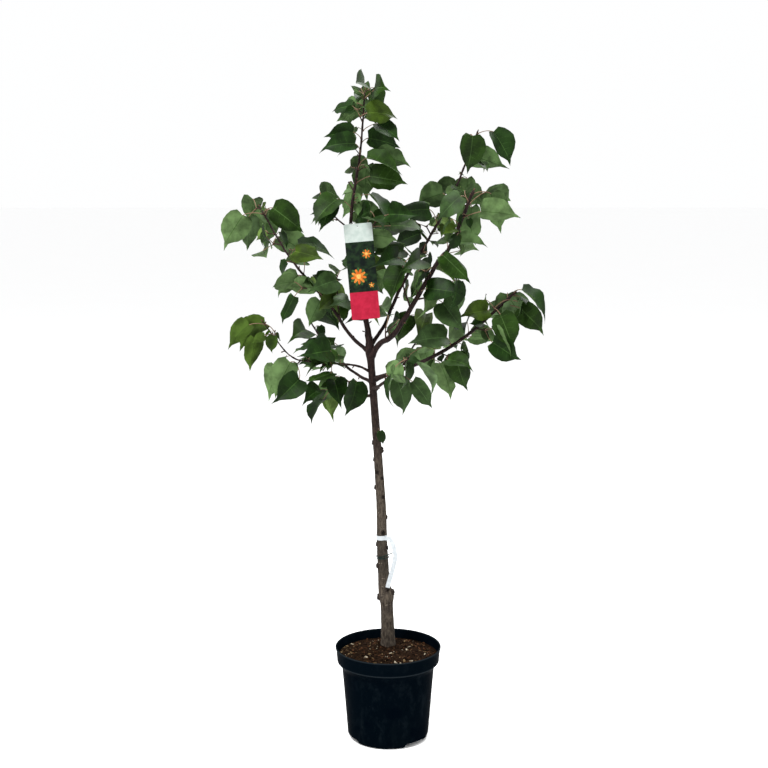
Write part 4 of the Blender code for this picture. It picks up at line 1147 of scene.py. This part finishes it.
def makeSoil():
    sizes = soil
    profile = [(0.100, sizes["floor"]), (0.1052, 0.0206), (0.1198, 0.1975), (0.1328, 0.2136),
               (sizes["edgeRadius"], sizes["edge"])]
    for k in range(1, sizes["rings"]):
        radius = between((sizes["edgeRadius"], 0.001), k / (sizes["rings"] - 1))
        profile.append((radius, soilHeight(radius)))
    bed = turnSolid(profile, sizes["sides"])
    top = bed.vertex_groups.new(name="top")
    for vert in bed.data.vertices:
        reach = math.hypot(vert.co.x, vert.co.y)
        if vert.co.z > 0.2245:
            top.add([vert.index], min(1.0, max((sizes["edgeRadius"] - reach) / 0.010, 0.12)), "REPLACE")
    for size, strength in ((0.030, 0.0080), (0.009, 0.0055), (0.0035, 0.0032)):
        lumps = bpy.data.textures.new("soilLumps", "CLOUDS")
        lumps.noise_scale = size
        addModifier(bed, "DISPLACE", texture=lumps, strength=strength, mid_level=0.52,
                    vertex_group="top", direction="Z", texture_coords="LOCAL")
    applyModifiers(bed)
    paint = Paint("compost", (0.03, 0.017, 0.010), 0.95)
    paint.feed("Specular IOR Level", 0.02)
    crumbs = paint.noise(190, 6, rough=0.7)
    patches = paint.noise(26, 3)
    tone = paint.blend(paint.span(crumbs, 0.34, 0.66), (0.0018, 0.0010, 0.0007), (0.019, 0.0098, 0.0048))
    paint.feed("Base Color", paint.blend(paint.span(patches, 0.4, 0.7, (0.0, 0.5)), tone,
                                         (0.013, 0.007, 0.004)))
    paint.bump(crumbs + paint.cells(260), 0.8, 0.0016)
    finishPiece(bed, "compost", [paint], ["soil"], 60)
    scatterChips(bed)
    print("compost filled")


def makeChipShape(seed):
    dropSelection()
    bpy.ops.mesh.primitive_cube_add(size=1)
    piece = bpy.context.object
    editMesh(piece)
    bpy.ops.mesh.subdivide(number_cuts=1)
    bpy.ops.transform.vertex_random(offset=0.16, seed=seed)
    bpy.ops.object.mode_set(mode="OBJECT")
    return meshParts(piece)


def scatterChips(bed):
    ground = BVHTree.FromPolygons([vert.co for vert in bed.data.vertices],
                                  [face.vertices for face in bed.data.polygons])
    shapes = [makeChipShape(seed) for seed in range(5)]
    kinds = {
        "Dark": ((0.003, 0.0015, 0.0010), (0.016, 0.0075, 0.0038), 0.52),
        "Red": ((0.024, 0.010, 0.005), (0.062, 0.028, 0.013), 0.30),
        "Tan": ((0.070, 0.044, 0.020), (0.150, 0.105, 0.055), 0.14),
        "Pale": ((0.200, 0.165, 0.115), (0.340, 0.300, 0.230), 0.04),
    }
    rng = random.Random(23)
    piles = {kind: [] for kind in kinds}
    for number in range(soil["chips"] + soil["crumbs"]):
        chip = number < soil["chips"]
        reach, turn = 0.131 * math.sqrt(rng.random()), rng.uniform(0, math.tau)
        spot = Vector((reach * math.cos(turn), reach * math.sin(turn), 0.30))
        hit, normal = ground.ray_cast(spot, Vector((0, 0, -1)))[:2]
        trunk = trunkAxis(trunkForm["foot"])
        if hit is None or (Vector((spot.x, spot.y, 0)) - Vector((trunk.x, trunk.y, 0))).length < 0.021:
            continue
        long = rng.uniform(0.004, 0.010) if chip else rng.uniform(0.0016, 0.0040)
        scale = np.array((long, long * rng.uniform(0.25, 0.6), long * rng.uniform(0.12, 0.35)))
        pose = Matrix.Rotation(rng.uniform(0, math.tau), 3, "Z") @ Matrix.Rotation(
            rng.gauss(0, 0.30), 3, "Y") @ Matrix.Rotation(rng.gauss(0, 0.35), 3, "X")
        points, faces, numbers = rng.choice(shapes)
        pick, kind = rng.random(), None
        for kind, (_, _, part) in kinds.items():
            if pick < part:
                break
            pick -= part
        place = np.array(hit + up * (scale[2] * 0.28))
        placed = (points * scale) @ np.array(pose).T + place
        if np.hypot(placed[:, 0], placed[:, 1]).max() < 0.1335:
            piles[kind].append((placed, faces, numbers))
    for kind, (dark, light, _) in kinds.items():
        paint = Paint("barkChip" + kind, light, 0.85)
        paint.feed("Specular IOR Level", 0.03)
        fibre = paint.noise(240, 4, (1, 1, 1))
        paint.feed("Base Color", paint.blend(paint.span(fibre, 0.3, 0.7), dark, light))
        paint.bump(fibre, 0.6, 0.0008)
        piece = joinParts("barkChips" + kind, piles[kind])
        finishPiece(piece, "barkChips" + kind, [paint], (), 30)


# The hang tag: a card with a plain printed field, and its strap.

card = {
    "size": (0.0725, 0.0008, 0.2450), "middle": (-0.0675, -0.030, 1.2565), "tilt": -5.0,
    "corner": 0.004, "hole": (0.0016, 0.0090), "cardMargin": 0.012,
    "bandFoot": 0.076, "fieldFoot": -0.052,  # heights over the middle where the printing changes
    # each rosette: across, up from the middle, radius and petals
    "rosettes": ((-0.009, -0.012, 0.0235, 9), (0.016, 0.044, 0.0140, 7), (0.022, -0.036, 0.0085, 5)),
}


def cardToWorld(piece):
    hold(piece)
    piece.data.transform(Matrix.Translation(card["middle"])
                         @ Matrix.Rotation(math.radians(card["tilt"]), 4, "Y"))


def makeCard():
    wide, thick, tall = card["size"]
    dropSelection()
    bpy.ops.mesh.primitive_cube_add(size=1, scale=card["size"])
    sheet = bpy.context.object
    bpy.ops.object.transform_apply(scale=True)
    editMesh(sheet, "DESELECT")
    bpy.ops.object.mode_set(mode="OBJECT")
    points = sheet.data.vertices
    for edge in sheet.data.edges:
        edge.select = abs(points[edge.vertices[0]].co.y - points[edge.vertices[1]].co.y) > thick / 2
    bpy.ops.object.mode_set(mode="EDIT")
    bpy.ops.mesh.bevel(offset=card["corner"], segments=5)
    for height in (card["bandFoot"], card["fieldFoot"]):
        bpy.ops.mesh.select_all(action="SELECT")
        bpy.ops.mesh.bisect(plane_co=(0, 0, height), plane_no=(0, 0, 1))
    bpy.ops.object.mode_set(mode="OBJECT")
    radius, drop = card["hole"]
    dropSelection()
    bpy.ops.mesh.primitive_cylinder_add(vertices=24, radius=radius, depth=0.01,
                                        location=(0, 0, tall / 2 - drop),
                                        rotation=(math.pi / 2, 0, 0))
    punch = bpy.context.object
    bpy.ops.object.transform_apply(location=True, rotation=True)
    addModifier(sheet, "BOOLEAN", operation="DIFFERENCE", object=punch, solver="EXACT")
    applyModifiers(sheet)
    bpy.data.objects.remove(punch, do_unlink=True)
    paints = [Paint("cardPale", (0.40, 0.45, 0.42), 0.4), Paint("cardDark", (0.010, 0.022, 0.014), 0.4),
              Paint("cardRed", (0.34, 0.010, 0.032), 0.4)]
    tones = (((0.37, 0.43, 0.40), (0.44, 0.49, 0.46)), ((0.002, 0.005, 0.004), (0.010, 0.024, 0.009)),
             ((0.31, 0.008, 0.028), (0.38, 0.012, 0.038)))
    for paint, (dark, light) in zip(paints, tones):
        mottle = paint.noise(70, 4)
        paint.feed("Base Color", paint.blend(paint.span(mottle, 0.35, 0.65), dark, light))
        paint.bump(paint.noise(1200, 1), 0.05, 0.0002)
    fields = [0 if face.center.z > card["bandFoot"] else 1 if face.center.z > card["fieldFoot"] else 2
              for face in sheet.data.polygons]
    cardToWorld(sheet)
    finishPiece(sheet, "hangCard", paints, ["tag_card"], 30)
    sheet.data.polygons.foreach_set("material_index", fields)


def inkSpot(shape, x, z, turn, wide, tall, lift, kind):
    # one oval of ink, raised a little over the card's front
    points = shape[0] * np.array((wide / 2, lift, tall / 2))
    points = points @ np.array(Matrix.Rotation(turn, 3, "Y")).T
    return points + np.array((x, -card["size"][1] / 2, z)), shape[1], [kind] * len(shape[1])


def makeRosette():
    # plain rosettes of petals on green leaves, in no layout of anyone's
    dropSelection()
    bpy.ops.mesh.primitive_uv_sphere_add(segments=20, ring_count=10, radius=1)
    oval, parts = meshParts(bpy.context.object), []
    for number, (x, z, radius, petals) in enumerate(card["rosettes"]):
        for k in range(2 * petals):
            turn = math.tau * (k + 0.5 * number) / petals / 2
            reach, kind, lift = (0.62, k // 2 % 2, 0.00030) if k % 2 else (0.86, 3, 0.00018)
            parts.append(inkSpot(oval, x + math.sin(turn) * radius * reach * 0.72,
                                 z + math.cos(turn) * radius * reach * 0.72, turn,
                                 radius * 0.34, radius * 0.80, lift, kind))
        parts.append(inkSpot(oval, x, z, 0, radius * 0.62, radius * 0.62, 0.00042, 2))
    paints = []
    for name, dark, light in (("printOrange", (0.42, 0.085, 0.010), (0.56, 0.150, 0.020)),
                              ("printAmber", (0.46, 0.130, 0.018), (0.62, 0.230, 0.040)),
                              ("printYellow", (0.52, 0.270, 0.060), (0.66, 0.400, 0.110)),
                              ("printGreen", (0.012, 0.040, 0.010), (0.040, 0.090, 0.024))):
        paint = Paint(name, light, 0.4)
        paint.feed("Base Color", paint.blend(paint.span(paint.noise(160, 2), 0.3, 0.7), dark, light))
        paints.append(paint)
    piece = joinParts("cardRosettes", parts)
    cardToWorld(piece)
    finishPiece(piece, "cardRosettes", paints, (), 60)


def plasticPaint(name, dark, light, roughness, grain):
    paint = Paint(name, light, roughness)
    mottle = paint.noise(grain, 3)
    paint.feed("Base Color", paint.blend(mottle, dark, light))
    paint.bump(mottle, 0.08, 0.0003)
    return paint


def nodeStays(name, paint):
    # a CAD node whose shape is right keeps it and takes a better finish
    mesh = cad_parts[name].data
    mesh.materials.clear()
    mesh.materials.append(paint.material)


def makeTrims():
    strap = plasticPaint("strapPlastic", (0.40, 0.42, 0.41), (0.52, 0.54, 0.53), 0.4, 300)
    strip = plasticPaint("stripPlastic", (0.32, 0.35, 0.37), (0.58, 0.61, 0.63), 0.3, 120)
    wire = plasticPaint("tieWire", (0.001, 0.009, 0.008), (0.004, 0.022, 0.018), 0.45, 500)
    nodeStays("tag_loop", strap)
    nodeStays("tag_strip", strip)
    nodeStays("trunk_wire", wire)


makeStage()
stalks, twigs, buds = makeFoliage()
makeStalksAndBuds(stalks, buds)
makeWood(twigs)
makeKnots()
makePot()
makeSoil()
makeCard()
makeRosette()
makeTrims()
print("all pieces placed")
